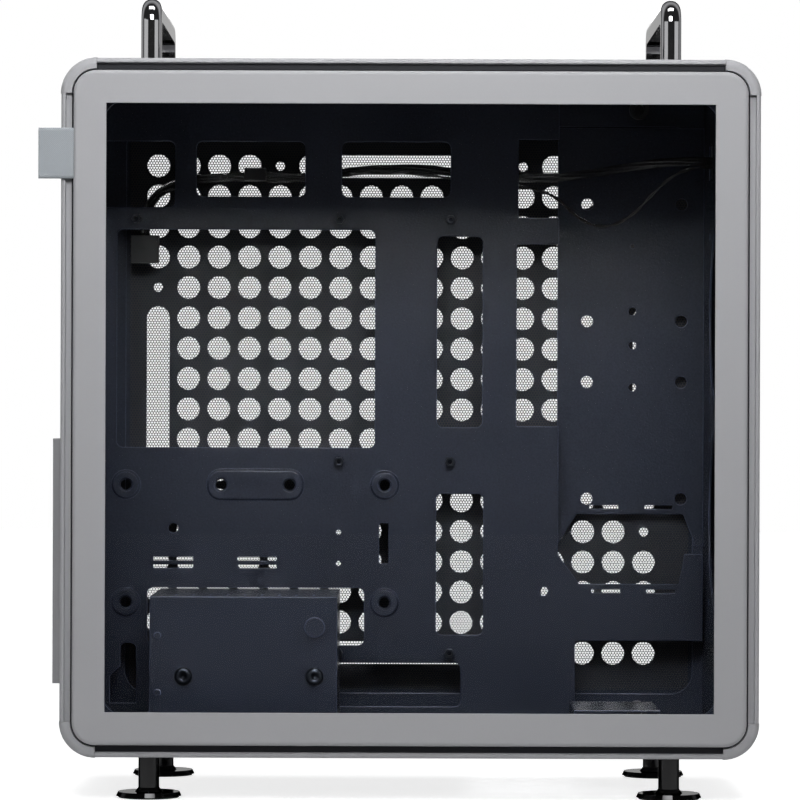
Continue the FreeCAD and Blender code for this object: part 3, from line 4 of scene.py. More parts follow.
import bpy
import numpy as np
from bpy.props import FloatProperty, FloatVectorProperty, IntProperty, PointerProperty
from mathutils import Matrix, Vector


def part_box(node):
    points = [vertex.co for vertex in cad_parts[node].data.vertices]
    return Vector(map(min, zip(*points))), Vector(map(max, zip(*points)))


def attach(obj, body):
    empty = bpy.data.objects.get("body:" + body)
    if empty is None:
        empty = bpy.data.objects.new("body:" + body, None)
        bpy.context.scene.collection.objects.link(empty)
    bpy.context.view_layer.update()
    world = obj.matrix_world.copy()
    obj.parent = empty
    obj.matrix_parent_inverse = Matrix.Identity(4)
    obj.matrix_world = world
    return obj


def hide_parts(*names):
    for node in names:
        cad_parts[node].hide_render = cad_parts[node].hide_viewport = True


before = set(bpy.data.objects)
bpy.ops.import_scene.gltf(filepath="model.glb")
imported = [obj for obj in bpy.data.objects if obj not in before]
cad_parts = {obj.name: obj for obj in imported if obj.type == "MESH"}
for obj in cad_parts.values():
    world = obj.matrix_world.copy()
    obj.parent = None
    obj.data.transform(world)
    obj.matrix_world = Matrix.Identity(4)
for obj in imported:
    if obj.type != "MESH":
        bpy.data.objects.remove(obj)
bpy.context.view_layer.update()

bl_info = {
    "name": "Computer Case Dress",
    "version": (1, 0, 0),
    "blender": (4, 5, 0),
    "location": "View3D > Sidebar > Case",
    "description": "Finishes, perforated side, pull tab, leads and studio of a computer case",
    "category": "Object",
}

MM = 0.001
WHITE = (1, 1, 1, 1)
FEET = ("rear_left", "rear_right", "front_left", "front_right")

# Lengths below are in millimetres: the middle of the case, and the leads' control points from there
MIDDLE = np.array([6.5, 0.0, 238.0])
SOCKET_ROUTE = [(194.2, 50, 160), (165, 50, 160), (136, 63, 156), (112, 84, 153), (85, 93, 151),
                (45, 93, 153), (5, 93, 158), (-35, 93, 156), (-75, 93, 150), (-113, 93, 152),
                (-148, 93, 150), (-173, 92, 136), (-173, 92, 113)]
SWITCH_ROUTE = [(194.2, 42, 156), (181, 42, 156), (167, 46, 150), (155, 54, 138), (144, 63, 126),
                (131, 72, 119), (117, 80, 120), (106, 87, 128), (97, 91, 138), (84, 92, 144),
                (66, 89, 146), (42, 88, 148), (14, 88, 153), (-18, 88, 155), (-50, 88, 152),
                (-72, 87, 153), (-94, 87, 153)]
# How far from that middle the outer panels' skin, their rims and the steps in those rims begin. Nearer the
# middle than a step the panels get painted shade
SKIN_FROM, RIM_FROM = 211.0, 106.0
LEVEL_STEP, UPRIGHT_STEP = 208.2, 205.1

# The pan of the perforated side: its sheet, turned lip, soft edge and corner, and the grid of its holes
PAN_SHEET, PAN_LIP, PAN_SOFT, PAN_CORNER = 1.5, 1.2, 1.4, 20.0
GRID_ROWS, SLOT_FROM, GRID_SHIFT, SMALL_HOLE = 17, 5, 5.5, 3.0
# The pull tab's cloth, and how far its ends and its sides keep within the solid
STRAP_THICK, STRAP_END, STRAP_SIDE = 0.8, 0.1, 0.2
# Half of the floor's width, and how far it lies under the feet
FLOOR_HALF, FLOOR_DROP = 6000, 0.5


class CaseColours(bpy.types.PropertyGroup):
    """Base colours of the finishes."""
    shell: FloatVectorProperty(
        name="Shell", description="Satin paint of the outer panels", subtype="COLOR",
        default=(0.415, 0.417, 0.436))
    chassis: FloatVectorProperty(
        name="Chassis", description="Powder coat of the inner sheets", subtype="COLOR",
        default=(0.022, 0.027, 0.043))
    # Painted shade: the dark colour painted into the panels' rim channels, the gaps beside them and their
    # inner faces
    panel_shade: FloatVectorProperty(
        name="Lining", description="Coat inside the outer panels", subtype="COLOR",
        default=(0.032, 0.033, 0.038))
    chrome: FloatVectorProperty(
        name="Black chrome", description="Plating of handles and feet", subtype="COLOR",
        default=(0.36, 0.36, 0.37))
    zinc: FloatVectorProperty(
        name="Zinc", description="Plating of screws and sockets", subtype="COLOR", default=(0.5, 0.51, 0.53))
    plastic: FloatVectorProperty(
        name="Plastic", description="Moulded black parts", subtype="COLOR", default=(0.018, 0.018, 0.02))
    strap: FloatVectorProperty(
        name="Strap", description="Woven pull tab", subtype="COLOR", default=(0.37, 0.4, 0.43))
    jacket: FloatVectorProperty(
        name="Jacket", description="Jackets of the leads", subtype="COLOR", default=(0.016, 0.016, 0.018))
    glass: FloatVectorProperty(
        name="Glass", description="Tint of the side pane", subtype="COLOR", default=(0.93, 0.94, 0.95))


class CaseDetails(bpy.types.PropertyGroup):
    """Sizes of what is finer than the solids."""
    hole_sides: IntProperty(
        name="Hole sides", description="Sides of a round hole: 12, 20, 28 or so on by eights",
        default=28, min=12)
    hole: FloatProperty(
        name="Vent hole", description="Diameter of the round holes", default=0.015, unit="LENGTH")
    pitch: FloatProperty(
        name="Vent pitch", description="Distance from hole to hole", default=0.02, unit="LENGTH")
    mesh_pitch: FloatProperty(
        name="Mesh pitch", description="Distance between the small holes of the dust mesh",
        default=0.00181, unit="LENGTH")
    mesh_open: FloatProperty(
        name="Mesh opening", description="Radius of a small hole as a share of the mesh pitch", default=0.39)
    screw_head: FloatProperty(
        name="Screw head", description="Height of the drive screws' heads", default=0.003, unit="LENGTH")
    weave: FloatProperty(
        name="Weave", description="Width of one thread of the pull tab", default=0.0006, unit="LENGTH")


class CaseStudio(bpy.types.PropertyGroup):
    """Camera and lamps."""
    distance: FloatProperty(
        name="Distance", description="From the camera to the middle plane", default=2.6155, unit="LENGTH")
    height: FloatProperty(
        name="Height", description="Height of the camera", default=0.2311, unit="LENGTH")
    side: FloatProperty(
        name="Side", description="How far right of the middle the camera is", default=0.0004, unit="LENGTH")
    shift: FloatProperty(
        name="Shift", description="Upward shift of the frame, as a share of it", default=0.025)
    lens: FloatProperty(
        name="Lens", description="Focal length on a 36 mm sensor", default=186.5, unit="CAMERA")
    roll: FloatProperty(
        name="Roll", description="Turn of the frame", default=math.radians(-0.2), unit="ROTATION")
    key: FloatProperty(
        name="Key", description="Power of the lamps before and behind the case", default=2.45, unit="POWER")
    top: FloatProperty(
        name="Top", description="Power of the lamp high over the case", default=2.3, unit="POWER")
    fill: FloatProperty(
        name="Fill", description="Power of each soft box beside the camera", default=1.75, unit="POWER")
    spread: FloatProperty(
        name="Spread", description="Cone of the lamps but for the soft boxes", default=math.radians(75),
        unit="ROTATION")
    sky: FloatProperty(
        name="Sky", description="Strength of the even light from all round", default=0.02)
    room: FloatProperty(
        name="Room", description="Strength of what metal reflects from the camera's side", default=0.04)


def chosen():
    """The three groups of settings of this scene."""
    scene = bpy.context.scene
    return scene.case_colours, scene.case_details, scene.case_studio


# Meshes from arrays
def closed_grid(rows, cols, around=True):
    """Quads of a rows x cols grid of vertices, joined end to end round the columns unless told otherwise."""
    r = np.arange(rows - 1)[:, None]
    c = np.arange(cols if around else cols - 1)[None, :]
    after = (c + 1) % cols
    quads = np.stack([r * cols + c, r * cols + after, (r + 1) * cols + after, (r + 1) * cols + c], axis=-1)
    return quads.reshape(-1, 4)


def end_cap(sides):
    """Quads that close a ring of an even number of points: strips from one side of the ring to the other."""
    i = np.arange(sides // 2 - 1)
    return np.stack([i, i + 1, sides - 2 - i, sides - 1 - i], axis=1)


def put_mesh(name, points, quads, material, body, smooth=True):
    """A piece from arrays: points in millimetres as rows of X, Y, Z, and quads as rows of four indices."""
    mesh = bpy.data.meshes.new(name)
    mesh.vertices.add(len(points))
    mesh.vertices.foreach_set("co", (points * MM).astype(np.float32).ravel())
    mesh.loops.add(quads.size)
    mesh.loops.foreach_set("vertex_index", quads.astype(np.int32).ravel())
    mesh.polygons.add(len(quads))
    mesh.polygons.foreach_set("loop_start", np.arange(0, quads.size, 4, dtype=np.int32))
    mesh.polygons.foreach_set("use_smooth", np.full(len(quads), smooth))
    mesh.update(calc_edges=True)
    mesh.validate()
    mesh.materials.append(material)
    piece = bpy.data.objects.new(name, mesh)
    bpy.context.scene.collection.objects.link(piece)
    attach(piece, body)
    return piece


# Shader nodes
def feed(tree, socket, value):
    """Links an output to a socket, or sets a number or colour on it."""
    if isinstance(value, bpy.types.NodeSocket):
        tree.links.new(value, socket)
    else:
        socket.default_value = value


def math_node(tree, operation, *values):
    """The output of a Math node, each of whose inputs is an output or a number."""
    node = tree.nodes.new("ShaderNodeMath")
    node.operation = operation
    for socket, value in zip(node.inputs, values):
        feed(tree, socket, value)
    return node.outputs["Value"]


def vector_node(tree, operation, *values):
    """The output of a Vector Math node, each of whose inputs is an output or three numbers."""
    node = tree.nodes.new("ShaderNodeVectorMath")
    node.operation = operation
    for socket, value in zip(node.inputs, values):
        feed(tree, socket, value)
    return node.outputs["Value" if operation in ("LENGTH", "DOT_PRODUCT") else "Vector"]


def ramp(tree, value, start, end, low=0.0, high=1.0):
    """A number that goes from low, where the value is at start, to high, where it is at end."""
    node = tree.nodes.new("ShaderNodeMapRange")
    for name, number in (("From Min", start), ("From Max", end), ("To Min", low), ("To Max", high)):
        node.inputs[name].default_value = number
    tree.links.new(value, node.inputs["Value"])
    return node.outputs["Result"]


def blend(tree, share, first, second):
    """A colour mixed from two, with so much of the second as the share says."""
    node = tree.nodes.new("ShaderNodeMix")
    node.data_type = "RGBA"
    tree.links.new(share, node.inputs["Factor"])
    feed(tree, node.inputs["A"], first)
    feed(tree, node.inputs["B"], second)
    return node.outputs["Result"]


def either(tree, share, first, second):
    """The first shader, or the second one where the share is 1."""
    node = tree.nodes.new("ShaderNodeMixShader")
    tree.links.new(share, node.inputs["Fac"])
    tree.links.new(first, node.inputs[1])
    tree.links.new(second, node.inputs[2])
    return node.outputs["Shader"]


def split(tree, vector):
    """The outputs of a Separate XYZ node."""
    node = tree.nodes.new("ShaderNodeSeparateXYZ")
    tree.links.new(vector, node.inputs["Vector"])
    return node.outputs


# Finishes
def new_finish(name):
    """A material with its nodes and its Principled shader."""
    material = bpy.data.materials.new(name)
    material.use_nodes = True
    tree = material.node_tree
    return material, tree, tree.nodes["Principled BSDF"]


def grain(tree, shader, colour, scale, spread, bump, roughness, rough_spread=0.06, edge=0.0):
    """Noise on Object coordinates for colour, roughness and bump: two mixed shades, a band of roughness
    and a height of a fifth of a millimetre. Where edge is a radius in metres, sharp edges are shaded as
    rounded by it. Gives back the coordinates."""
    nodes, links = tree.nodes, tree.links
    place = nodes.new("ShaderNodeTexCoord").outputs["Object"]
    noise = nodes.new("ShaderNodeTexNoise")
    noise.inputs["Scale"].default_value = scale
    noise.inputs["Detail"].default_value = 4.0
    links.new(place, noise.inputs["Vector"])
    level = noise.outputs["Fac"]
    dark = tuple(c * (1 - spread) for c in colour) + (1,)
    pale = tuple(min(1, c * (1 + spread)) for c in colour) + (1,)
    links.new(blend(tree, level, dark, pale), shader.inputs["Base Color"])
    band = ramp(tree, level, 0.0, 1.0, roughness - rough_spread, roughness + rough_spread)
    links.new(band, shader.inputs["Roughness"])
    height = nodes.new("ShaderNodeBump")
    height.inputs["Strength"].default_value = bump
    height.inputs["Distance"].default_value = 0.0002
    links.new(level, height.inputs["Height"])
    links.new(height.outputs["Normal"], shader.inputs["Normal"])
    if edge:
        # Rounded normals at sharp edges; the painted edge highlight also reads this Bevel node
        edge_rounding = nodes.new("ShaderNodeBevel")
        edge_rounding.samples = 6
        edge_rounding.inputs["Radius"].default_value = edge
        links.new(edge_rounding.outputs["Normal"], height.inputs["Normal"])
    return place


def paint_over(tree, shader, share, colour):
    """Covers the shader's colour with another one by a share."""
    base = shader.inputs["Base Color"]
    tree.links.new(blend(tree, share, base.links[0].from_socket, colour + (1,)), base)


def paint_edge_highlight(tree, shader, colour):
    """A painted highlight: a paler colour along sharp edges, where the rounded normal leans from the face's
    own.
    """
    face = tree.nodes.new("ShaderNodeNewGeometry").outputs["True Normal"]
    lean = vector_node(tree, "DOT_PRODUCT", face, tree.nodes["Bevel"].outputs["Normal"])
    paint_over(tree, shader, ramp(tree, lean, 0.96, 0.8), colour)


def satin_paint(name="satin_paint", shade_axis=None, limit=0.0):
    """Light grey satin paint with a faint orange-peel. Where an axis across a panel is given, the paint has
    painted shade: what lies nearer the case's middle than the limit along it is dark instead, and between
    the rims so is all but the skin."""
    colours, _, _ = chosen()
    material, tree, shader = new_finish(name)
    place = grain(tree, shader, tuple(colours.shell), scale=900, spread=0.02, bump=0.08, roughness=0.55,
                  edge=0.0009)
    shader.inputs["Specular IOR Level"].default_value = 0.12
    # Painted shade: dark nearer the middle than the limit, and between the rims on all but the skin
    if shade_axis:
        parts = split(tree, place)
        step, skin, between = (
            math_node(tree, "COMPARE", parts[axis], MIDDLE["XYZ".index(axis)] * MM, half * MM)
            for axis, half in ((shade_axis, limit), (shade_axis, SKIN_FROM), ("Y", RIM_FROM)))
        inner = math_node(tree, "MAXIMUM", step, math_node(tree, "MULTIPLY", skin, between))
        paint_over(tree, shader, inner, tuple(colours.panel_shade))
    return material


def powder_coat():
    """Blue-black powder coat with a fine rough grain, and a painted highlight along its edges."""
    colours, _, _ = chosen()
    material, tree, shader = new_finish("powder_coat")
    grain(tree, shader, tuple(colours.chassis), scale=900, spread=0.5, bump=0.8, roughness=0.24, edge=0.0011)
    shader.inputs["Specular IOR Level"].default_value = 0.6
    # Painted highlight: four and a half times the coat's colour along its sharp edges
    paint_edge_highlight(tree, shader, tuple(4.5 * c for c in colours.chassis))
    return material


def black_plating(name, depth):
    """Polished black chrome with slightly uneven gloss, its colour scaled by depth."""
    colours, _, _ = chosen()
    material, tree, shader = new_finish(name)
    colour = tuple(c * depth for c in colours.chrome)
    grain(tree, shader, colour, scale=60, spread=0.05, bump=0.0, roughness=0.06, rough_spread=0.02)
    shader.inputs["Metallic"].default_value = 1.0
    shader.inputs["Specular Tint"].default_value = (0.03, 0.03, 0.03, 1)
    return material


def blackened(colour):
    """A plating's colour after blackening, which leaves it a little blue."""
    return tuple(c * share for c, share in zip(colour, (0.12, 0.135, 0.165)))


def screw_plating(name, colour):
    """Plated steel with a slightly blotched gloss."""
    material, tree, shader = new_finish(name)
    grain(tree, shader, colour, scale=700, spread=0.12, bump=0.15, roughness=0.3, edge=0.0009)
    shader.inputs["Metallic"].default_value = 1.0
    return material


def moulded_plastic():
    """Black moulded plastic with spark-eroded grain."""
    colours, _, _ = chosen()
    material, tree, shader = new_finish("moulded_plastic")
    grain(tree, shader, tuple(colours.plastic), scale=2200, spread=0.15, bump=0.35, roughness=0.4,
          edge=0.0008)
    return material


def pad_rubber():
    """Dull black rubber."""
    colours, _, _ = chosen()
    material, tree, shader = new_finish("pad_rubber")
    grain(tree, shader, tuple(colours.plastic), scale=1500, spread=0.3, bump=0.4, roughness=0.8)
    return material


def lead_jacket():
    """Soft black jacket of a lead, with a sharp gloss."""
    colours, _, _ = chosen()
    material, tree, shader = new_finish("lead_jacket")
    grain(tree, shader, tuple(colours.jacket), scale=1200, spread=0.2, bump=0.02, roughness=0.12)
    shader.inputs["Specular IOR Level"].default_value = 1.0
    return material


def clear_pane():
    """Toughened glass, lightly tinted. Its low IOR keeps reflections faint, and shadow rays go through."""
    colours, _, _ = chosen()
    material, tree, shader = new_finish("clear_pane")
    grain(tree, shader, tuple(colours.glass), scale=8, spread=0.01, bump=0.0, roughness=0.01,
          rough_spread=0.005)
    shader.inputs["Transmission Weight"].default_value = 1.0
    shader.inputs["IOR"].default_value = 1.12
    clear = tree.nodes.new("ShaderNodeBsdfTransparent")
    clear.inputs["Color"].default_value = (0.9, 0.91, 0.92, 1)
    shadow = tree.nodes.new("ShaderNodeLightPath").outputs["Is Shadow Ray"]
    glazed = either(tree, shadow, shader.outputs["BSDF"], clear.outputs["BSDF"])
    tree.links.new(glazed, tree.nodes["Material Output"].inputs["Surface"])
    return material


def dust_mesh(name, across):
    """Black mesh of small round holes on a hexagonal grid: a point is open within a set distance of the
    nearest of two interleaved rectangular grids, one cell wide and root three cells high."""
    colours, details, _ = chosen()
    material, tree, shader = new_finish(name)
    place = grain(tree, shader, tuple(colours.plastic), scale=1800, spread=0.2, bump=0.0, roughness=0.6)
    half = dict(zip(across, (0.5, math.sqrt(3) / 2)))
    reach = tuple(half.get(axis, 1.0) for axis in "XYZ")
    size = tuple(1 / details.mesh_pitch if axis in across else 0.0 for axis in "XYZ")
    cells = vector_node(tree, "MULTIPLY", place, size)
    shifted = vector_node(tree, "ADD", cells, tuple(half.get(axis, 0.0) for axis in "XYZ"))
    away = []
    for source in (cells, shifted):
        wrapped = vector_node(tree, "WRAP", source, reach, tuple(-r for r in reach))
        away.append(vector_node(tree, "LENGTH", wrapped))
    solid = math_node(tree, "GREATER_THAN", math_node(tree, "MINIMUM", *away), details.mesh_open)
    tree.links.new(solid, shader.inputs["Alpha"])
    return material


def woven_strap():
    """Grey webbing: a checker of threads on the strap's own UV gives both its two shades and its height."""
    colours, details, _ = chosen()
    material, tree, shader = new_finish("woven_strap")
    nodes, links = tree.nodes, tree.links
    place = nodes.new("ShaderNodeUVMap")
    size = nodes.new("ShaderNodeMapping")
    size.inputs["Scale"].default_value = (1 / details.weave, 1 / details.weave, 1)
    links.new(place.outputs["UV"], size.inputs["Vector"])
    threads = nodes.new("ShaderNodeTexChecker")
    threads.inputs["Scale"].default_value = 1.0
    colour = tuple(colours.strap)
    threads.inputs["Color1"].default_value = tuple(c * 0.86 for c in colour) + (1,)
    threads.inputs["Color2"].default_value = tuple(c * 1.1 for c in colour) + (1,)
    links.new(size.outputs["Vector"], threads.inputs["Vector"])
    links.new(threads.outputs["Color"], shader.inputs["Base Color"])
    height = nodes.new("ShaderNodeBump")
    height.inputs["Strength"].default_value = 0.5
    height.inputs["Distance"].default_value = 0.0003
    links.new(threads.outputs["Fac"], height.inputs["Height"])
    links.new(height.outputs["Normal"], shader.inputs["Normal"])
    shader.inputs["Roughness"].default_value = 0.85
    shader.inputs["Sheen Weight"].default_value = 0.2
    return material


def paint_nodes(material, *names):
    """Gives the named CAD nodes one finish."""
    for name in names:
        node = bpy.data.objects[name]
        for slot in node.material_slots:
            slot.material = material


# Shapes
def rounded_loop(centre, half_x, half_z, radius, y, share):
    """A closed loop round a rectangle with round corners, at one Y. Share gives places along each side,
    from -1 to 1 at the middles of its corners: on the straight part, or past it on the corner's arc."""
    loop = []
    for out, along, turn_x, turn_z in (
            (half_x, half_z, (1, 0), (0, 1)), (half_z, half_x, (0, -1), (1, 0)),
            (half_x, half_z, (-1, 0), (0, -1)), (half_z, half_x, (0, 1), (-1, 0))):
        straight = along - radius
        run = np.abs(share) * (straight + radius * np.pi / 4)
        angle = np.maximum(run - straight, 0) / max(radius, 1e-9)
        u = out - radius + radius * np.cos(angle)
        v = np.sign(share) * (np.minimum(run, straight) + radius * np.sin(angle))
        loop.append(np.stack([turn_x[0] * u + turn_x[1] * v, turn_z[0] * u + turn_z[1] * v], axis=1))
    loop = np.concatenate(loop) + centre
    return np.column_stack([loop[:, 0], np.full(len(loop), y), loop[:, 1]])


def side_points(sides, half, centres):
    """Where rays at a hole's even angles meet one side of its cell, for cells in a row, in rising order."""
    angle = 2 * np.pi * (np.arange(sides) + 0.5) / sides
    steps = half / np.tan(angle[(angle > np.pi / 4 - 1e-6) & (angle < 3 * np.pi / 4 + 1e-6)])[::-1]
    return np.append((centres[:, None] + steps[None, :-1]).ravel(), centres[-1] + half)


def hole_cell(sides, radius, half, run=0.0):
    """Offsets of a hole's ring and of its cell's rim, point for point: rays at even angles meet a circle
    and a square. A hole drawn out along X has its halves moved apart by run, with straight rows of points
    between them that lie where the cells beside it have theirs."""
    angle = 2 * np.pi * (np.arange(sides) + 0.5) / sides - np.pi / 2
    x, z = np.cos(angle), np.sin(angle)
    unit = np.stack([x, z], axis=1)
    apart = np.stack([np.sign(x) * run, np.zeros(sides)], axis=1)
    pair = []
    cells = 2 * half * np.arange(-round(run / half / 2), round(run / half / 2) + 1)
    row = side_points(sides, half, cells)
    row = row[np.abs(row) < run]
    for level, reach in ((radius, np.full(sides, radius)), (half, half / np.maximum(np.abs(x), np.abs(z)))):
        ring = reach[:, None] * unit + apart
        over = np.column_stack([row[::-1], np.full(len(row), level)])
        under = np.column_stack([row, np.full(len(row), -level)])
        pair.append(np.concatenate([ring[:sides // 2], over, ring[sides // 2:], under]))
    return pair


def pan_loops(low, high, middle, reach, share):
    """Loops of the perforated side's pan, from the edge of its grid of holes outwards over the face, round a
    soft edge and the turned lip, and back inside to the edge of the grid."""
    back, face = low[1], high[1]
    centre = ((low[0] + high[0]) / 2, (low[2] + high[2]) / 2)
    half_x, half_z = (high[0] - low[0]) / 2, (high[2] - low[2]) / 2
    turn = np.linspace(0, np.pi / 2, 5)
    insets = np.concatenate([PAN_SOFT * (1 - np.sin(turn)), [0.0, PAN_LIP, PAN_LIP]])
    levels = np.concatenate([face - PAN_SOFT * (1 - np.cos(turn)), [back, back, face - PAN_SHEET]])
    loops = [rounded_loop(middle, reach, reach, 0.0, face, share)]
    for inset, level in zip(insets, levels):
        loops.append(rounded_loop(centre, half_x - inset, half_z - inset, PAN_CORNER - inset, level, share))
    loops.append(rounded_loop(middle, reach, reach, 0.0, face - PAN_SHEET, share))
    return loops


def hole_kinds(details):
    """The holes of the grid by kind: their columns, their rows, and the outlines of one hole and its cell.
    The grid's outer rows have a drawn-out slot at their middle and a small hole beside each of its ends."""
    pitch, radius, sides = details.pitch / MM, details.hole / MM / 2, details.hole_sides
    mid, last = (GRID_ROWS - 1) / 2, GRID_ROWS - 1 - SLOT_FROM
    index = np.arange(GRID_ROWS)
    i, k = (a.ravel() for a in np.meshgrid(index, index, indexing="ij"))
    rim_i, rim_k = (i == 0) | (i == GRID_ROWS - 1), (k == 0) | (k == GRID_ROWS - 1)
    along = np.where(rim_i, k, np.where(rim_k, i, -1))
    small = (along == SLOT_FROM - 1) | (along == last + 1)
    slotted = (along >= SLOT_FROM) & (along <= last)
    plain = ~small & ~slotted
    slot = hole_cell(sides, radius, pitch / 2, pitch * (last - SLOT_FROM) / 2)
    upright = [outline[::-1, ::-1] for outline in slot]
    ends, halves = np.array([0, GRID_ROWS - 1]), np.array([mid, mid])
    return [(i[plain], k[plain], hole_cell(sides, radius, pitch / 2)),
            (i[small], k[small], hole_cell(sides, SMALL_HOLE, pitch / 2)),
            (ends, halves, upright), (halves, ends, slot)]


def screw_profile(reach, head, length):
    """Radius and depth along a pan-headed screw, from the floor of its socket: out of the socket, over a
    rounded crown to the head's full reach, and in to a shank of about a third of it."""
    turn = np.linspace(0, np.pi / 2, 6)
    crown = 0.7 * head
    radius = np.concatenate([reach * np.array([0.28, 0.32, 0.4]), reach - crown + crown * np.sin(turn),
                             reach * np.array([1.0, 0.36, 0.36])])
    depth = np.concatenate([head * np.array([0.8, 0.15, 0.0]), crown - crown * np.cos(turn),
                            [head, head, length]])
    return radius, depth


def route_points(name, route):
    """Points in millimetres along the smooth NURBS line whose control points are a lead's route."""
    curve = bpy.data.curves.new(name + "_route", "CURVE")
    curve.dimensions = "3D"
    curve.resolution_u = 8
    spline = curve.splines.new("NURBS")
    spline.points.add(len(route) - 1)
    spline.points.foreach_set("co", np.column_stack([route, np.ones(len(route))]).ravel())
    spline.order_u = 3
    spline.use_endpoint_u = True
    holder = bpy.data.objects.new(name + "_route", curve)
    mesh = bpy.data.meshes.new_from_object(holder)
    line = np.empty(len(mesh.vertices) * 3, dtype=np.float32)
    mesh.vertices.foreach_get("co", line)
    bpy.data.objects.remove(holder)
    bpy.data.curves.remove(curve)
    bpy.data.meshes.remove(mesh)
    return line.reshape(-1, 3).astype(float)


def twisted_strands(line, width, count, turns, sides=8):
    """Round strands laid round a line, all within its width: each strand's middle turns about the line as a
    helix of so many turns in all, and its skin is a circle about that middle, closed at both ends."""
    along = np.gradient(line, axis=0)
    along /= np.linalg.norm(along, axis=1)[:, None]
    first = np.cross(along, (0.0, 1.0, 0.0))
    first /= np.linalg.norm(first, axis=1)[:, None]
    second = np.cross(along, first)
    share = np.sin(np.pi / count)
    thick = width / 2 * share / (1 + share)
    ring = width / 2 - thick
    phase = 2 * np.pi * (np.arange(count)[:, None] / count + turns * np.linspace(0, 1, len(line))[None, :])
    middle = line + ring * (np.cos(phase)[..., None] * first + np.sin(phase)[..., None] * second)
    angle = 2 * np.pi * np.arange(sides) / sides
    skin = thick * (np.cos(angle)[:, None] * first[:, None, :] + np.sin(angle)[:, None] * second[:, None, :])
    points = (middle[:, :, None, :] + skin[None, :, :, :]).reshape(-1, 3)
    cap = end_cap(sides)
    last = (len(line) - 1) * sides
    strand = np.concatenate([closed_grid(len(line), sides), cap[:, ::-1], cap + last])
    quads = strand[None, :, :] + (np.arange(count) * len(line) * sides)[:, None, None]
    return points, quads.reshape(-1, 4)


# Operators
class CASE_OT_shell(bpy.types.Operator):
    """Paint the outer shell, the window frame and the slot shield"""
    bl_idname = "case.shell"
    bl_label = "Shell"

    def execute(self, context):
        paint_nodes(satin_paint(), "corner_top_front", "corner_top_rear", "corner_bottom_front",
                    "corner_bottom_rear", "window_frame", "slot_shield")
        # The level and upright panels get painted shade nearer the middle than the steps in their rims
        paint_nodes(satin_paint("level_panel_paint", "Z", LEVEL_STEP), "top_panel", "bottom_panel")
        paint_nodes(satin_paint("upright_panel_paint", "X", UPRIGHT_STEP), "front_panel", "rear_panel")
        return {"FINISHED"}


class CASE_OT_chassis(bpy.types.Operator):
    """Coat the inner sheets and plate the screws"""
    bl_idname = "case.chassis"
    bl_label = "Chassis"

    def execute(self, context):
        covers = ["slot_cover_%d" % i for i in range(1, 8)]
        paint_nodes(powder_coat(), "side_frame_left", "side_frame_right", "motherboard_tray", "drive_cage",
                    "power_supply_shelf", "front_wall", *covers)
        zinc = tuple(chosen()[0].zinc)
        paint_nodes(screw_plating("zinc_plating", zinc), "slot_screws", "foot_screws", "handle_screws",
                    "usb_sockets")
        paint_nodes(screw_plating("black_zinc", blackened(zinc)), "board_standoffs")
        paint_nodes(moulded_plastic(), "socket_housing", "power_button", "reset_button", "audio_socket",
                    "left_studs", "right_studs", "left_clips", "right_clips", "socket_plug", "switch_plug",
                    "cable_ties")
        paint_nodes(dust_mesh("side_mesh", "XZ"), "vent_mesh")
        paint_nodes(dust_mesh("top_mesh", "XY"), "top_filter")
        paint_nodes(dust_mesh("front_mesh", "YZ"), "front_filter")
        return {"FINISHED"}


class CASE_OT_glass(bpy.types.Operator):
    """Glaze the window"""
    bl_idname = "case.glass"
    bl_label = "Glass"

    def execute(self, context):
        paint_nodes(clear_pane(), "glass_pane")
        return {"FINISHED"}


class CASE_OT_vent_panel(bpy.types.Operator):
    """Make the perforated side with round holes"""
    bl_idname = "case.vent_panel"
    bl_label = "Perforated side"

    def execute(self, context):
        _, details, _ = chosen()
        low, high = (np.array(c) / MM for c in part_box("vent_panel"))
        pitch, face = details.pitch / MM, high[1]
        middle = ((low[0] + high[0]) / 2 - GRID_SHIFT, (low[2] + high[2]) / 2)
        mid, reach = (GRID_ROWS - 1) / 2, pitch * GRID_ROWS / 2
        share = side_points(details.hole_sides, pitch / 2, pitch * (np.arange(GRID_ROWS) - mid))[:-1] / reach
        loops = pan_loops(low, high, middle, reach, share)
        points = [np.concatenate(loops)]
        quads = [closed_grid(len(loops), len(loops[0]))]
        # The inner side gets the dark powder coat as painted shade: the last two strips of the pan and the
        # last one of each cell
        inside = [np.repeat(np.arange(len(loops) - 1) >= len(loops) - 3, len(loops[0]))]
        count = len(points[0])
        for ci, ck, (ring, rim) in hole_kinds(details):
            section = [(rim, face), (ring, face), (ring, face - PAN_SHEET), (rim, face - PAN_SHEET)]
            cell = np.concatenate([np.column_stack([loop[:, 0], np.full(len(loop), y), loop[:, 1]])
                                   for loop, y in section])
            across, up = middle[0] + pitch * (ci - mid), middle[1] + pitch * (ck - mid)
            at = np.column_stack([across, np.zeros(len(ci)), up])
            points.append((at[:, None, :] + cell[None, :, :]).reshape(-1, 3))
            faces = closed_grid(4, len(ring))[:, ::-1]
            offset = count + np.arange(len(ci))[:, None, None] * len(cell)
            quads.append((faces[None, :, :] + offset).reshape(-1, 4))
            inside.append(np.tile(np.repeat([False, False, True], len(ring)), len(ci)))
            count += len(points[-1])
        welded, index = np.unique(np.round(np.concatenate(points), 4), axis=0, return_inverse=True)
        piece = put_mesh("perforated_side", welded, index.reshape(-1)[np.concatenate(quads)],
                         bpy.data.materials["satin_paint"], "right_side", smooth=False)
        piece.data.materials.append(bpy.data.materials["powder_coat"])
        piece.data.polygons.foreach_set("material_index", np.concatenate(inside).astype(np.int32))
        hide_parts("vent_panel")
        return {"FINISHED"}


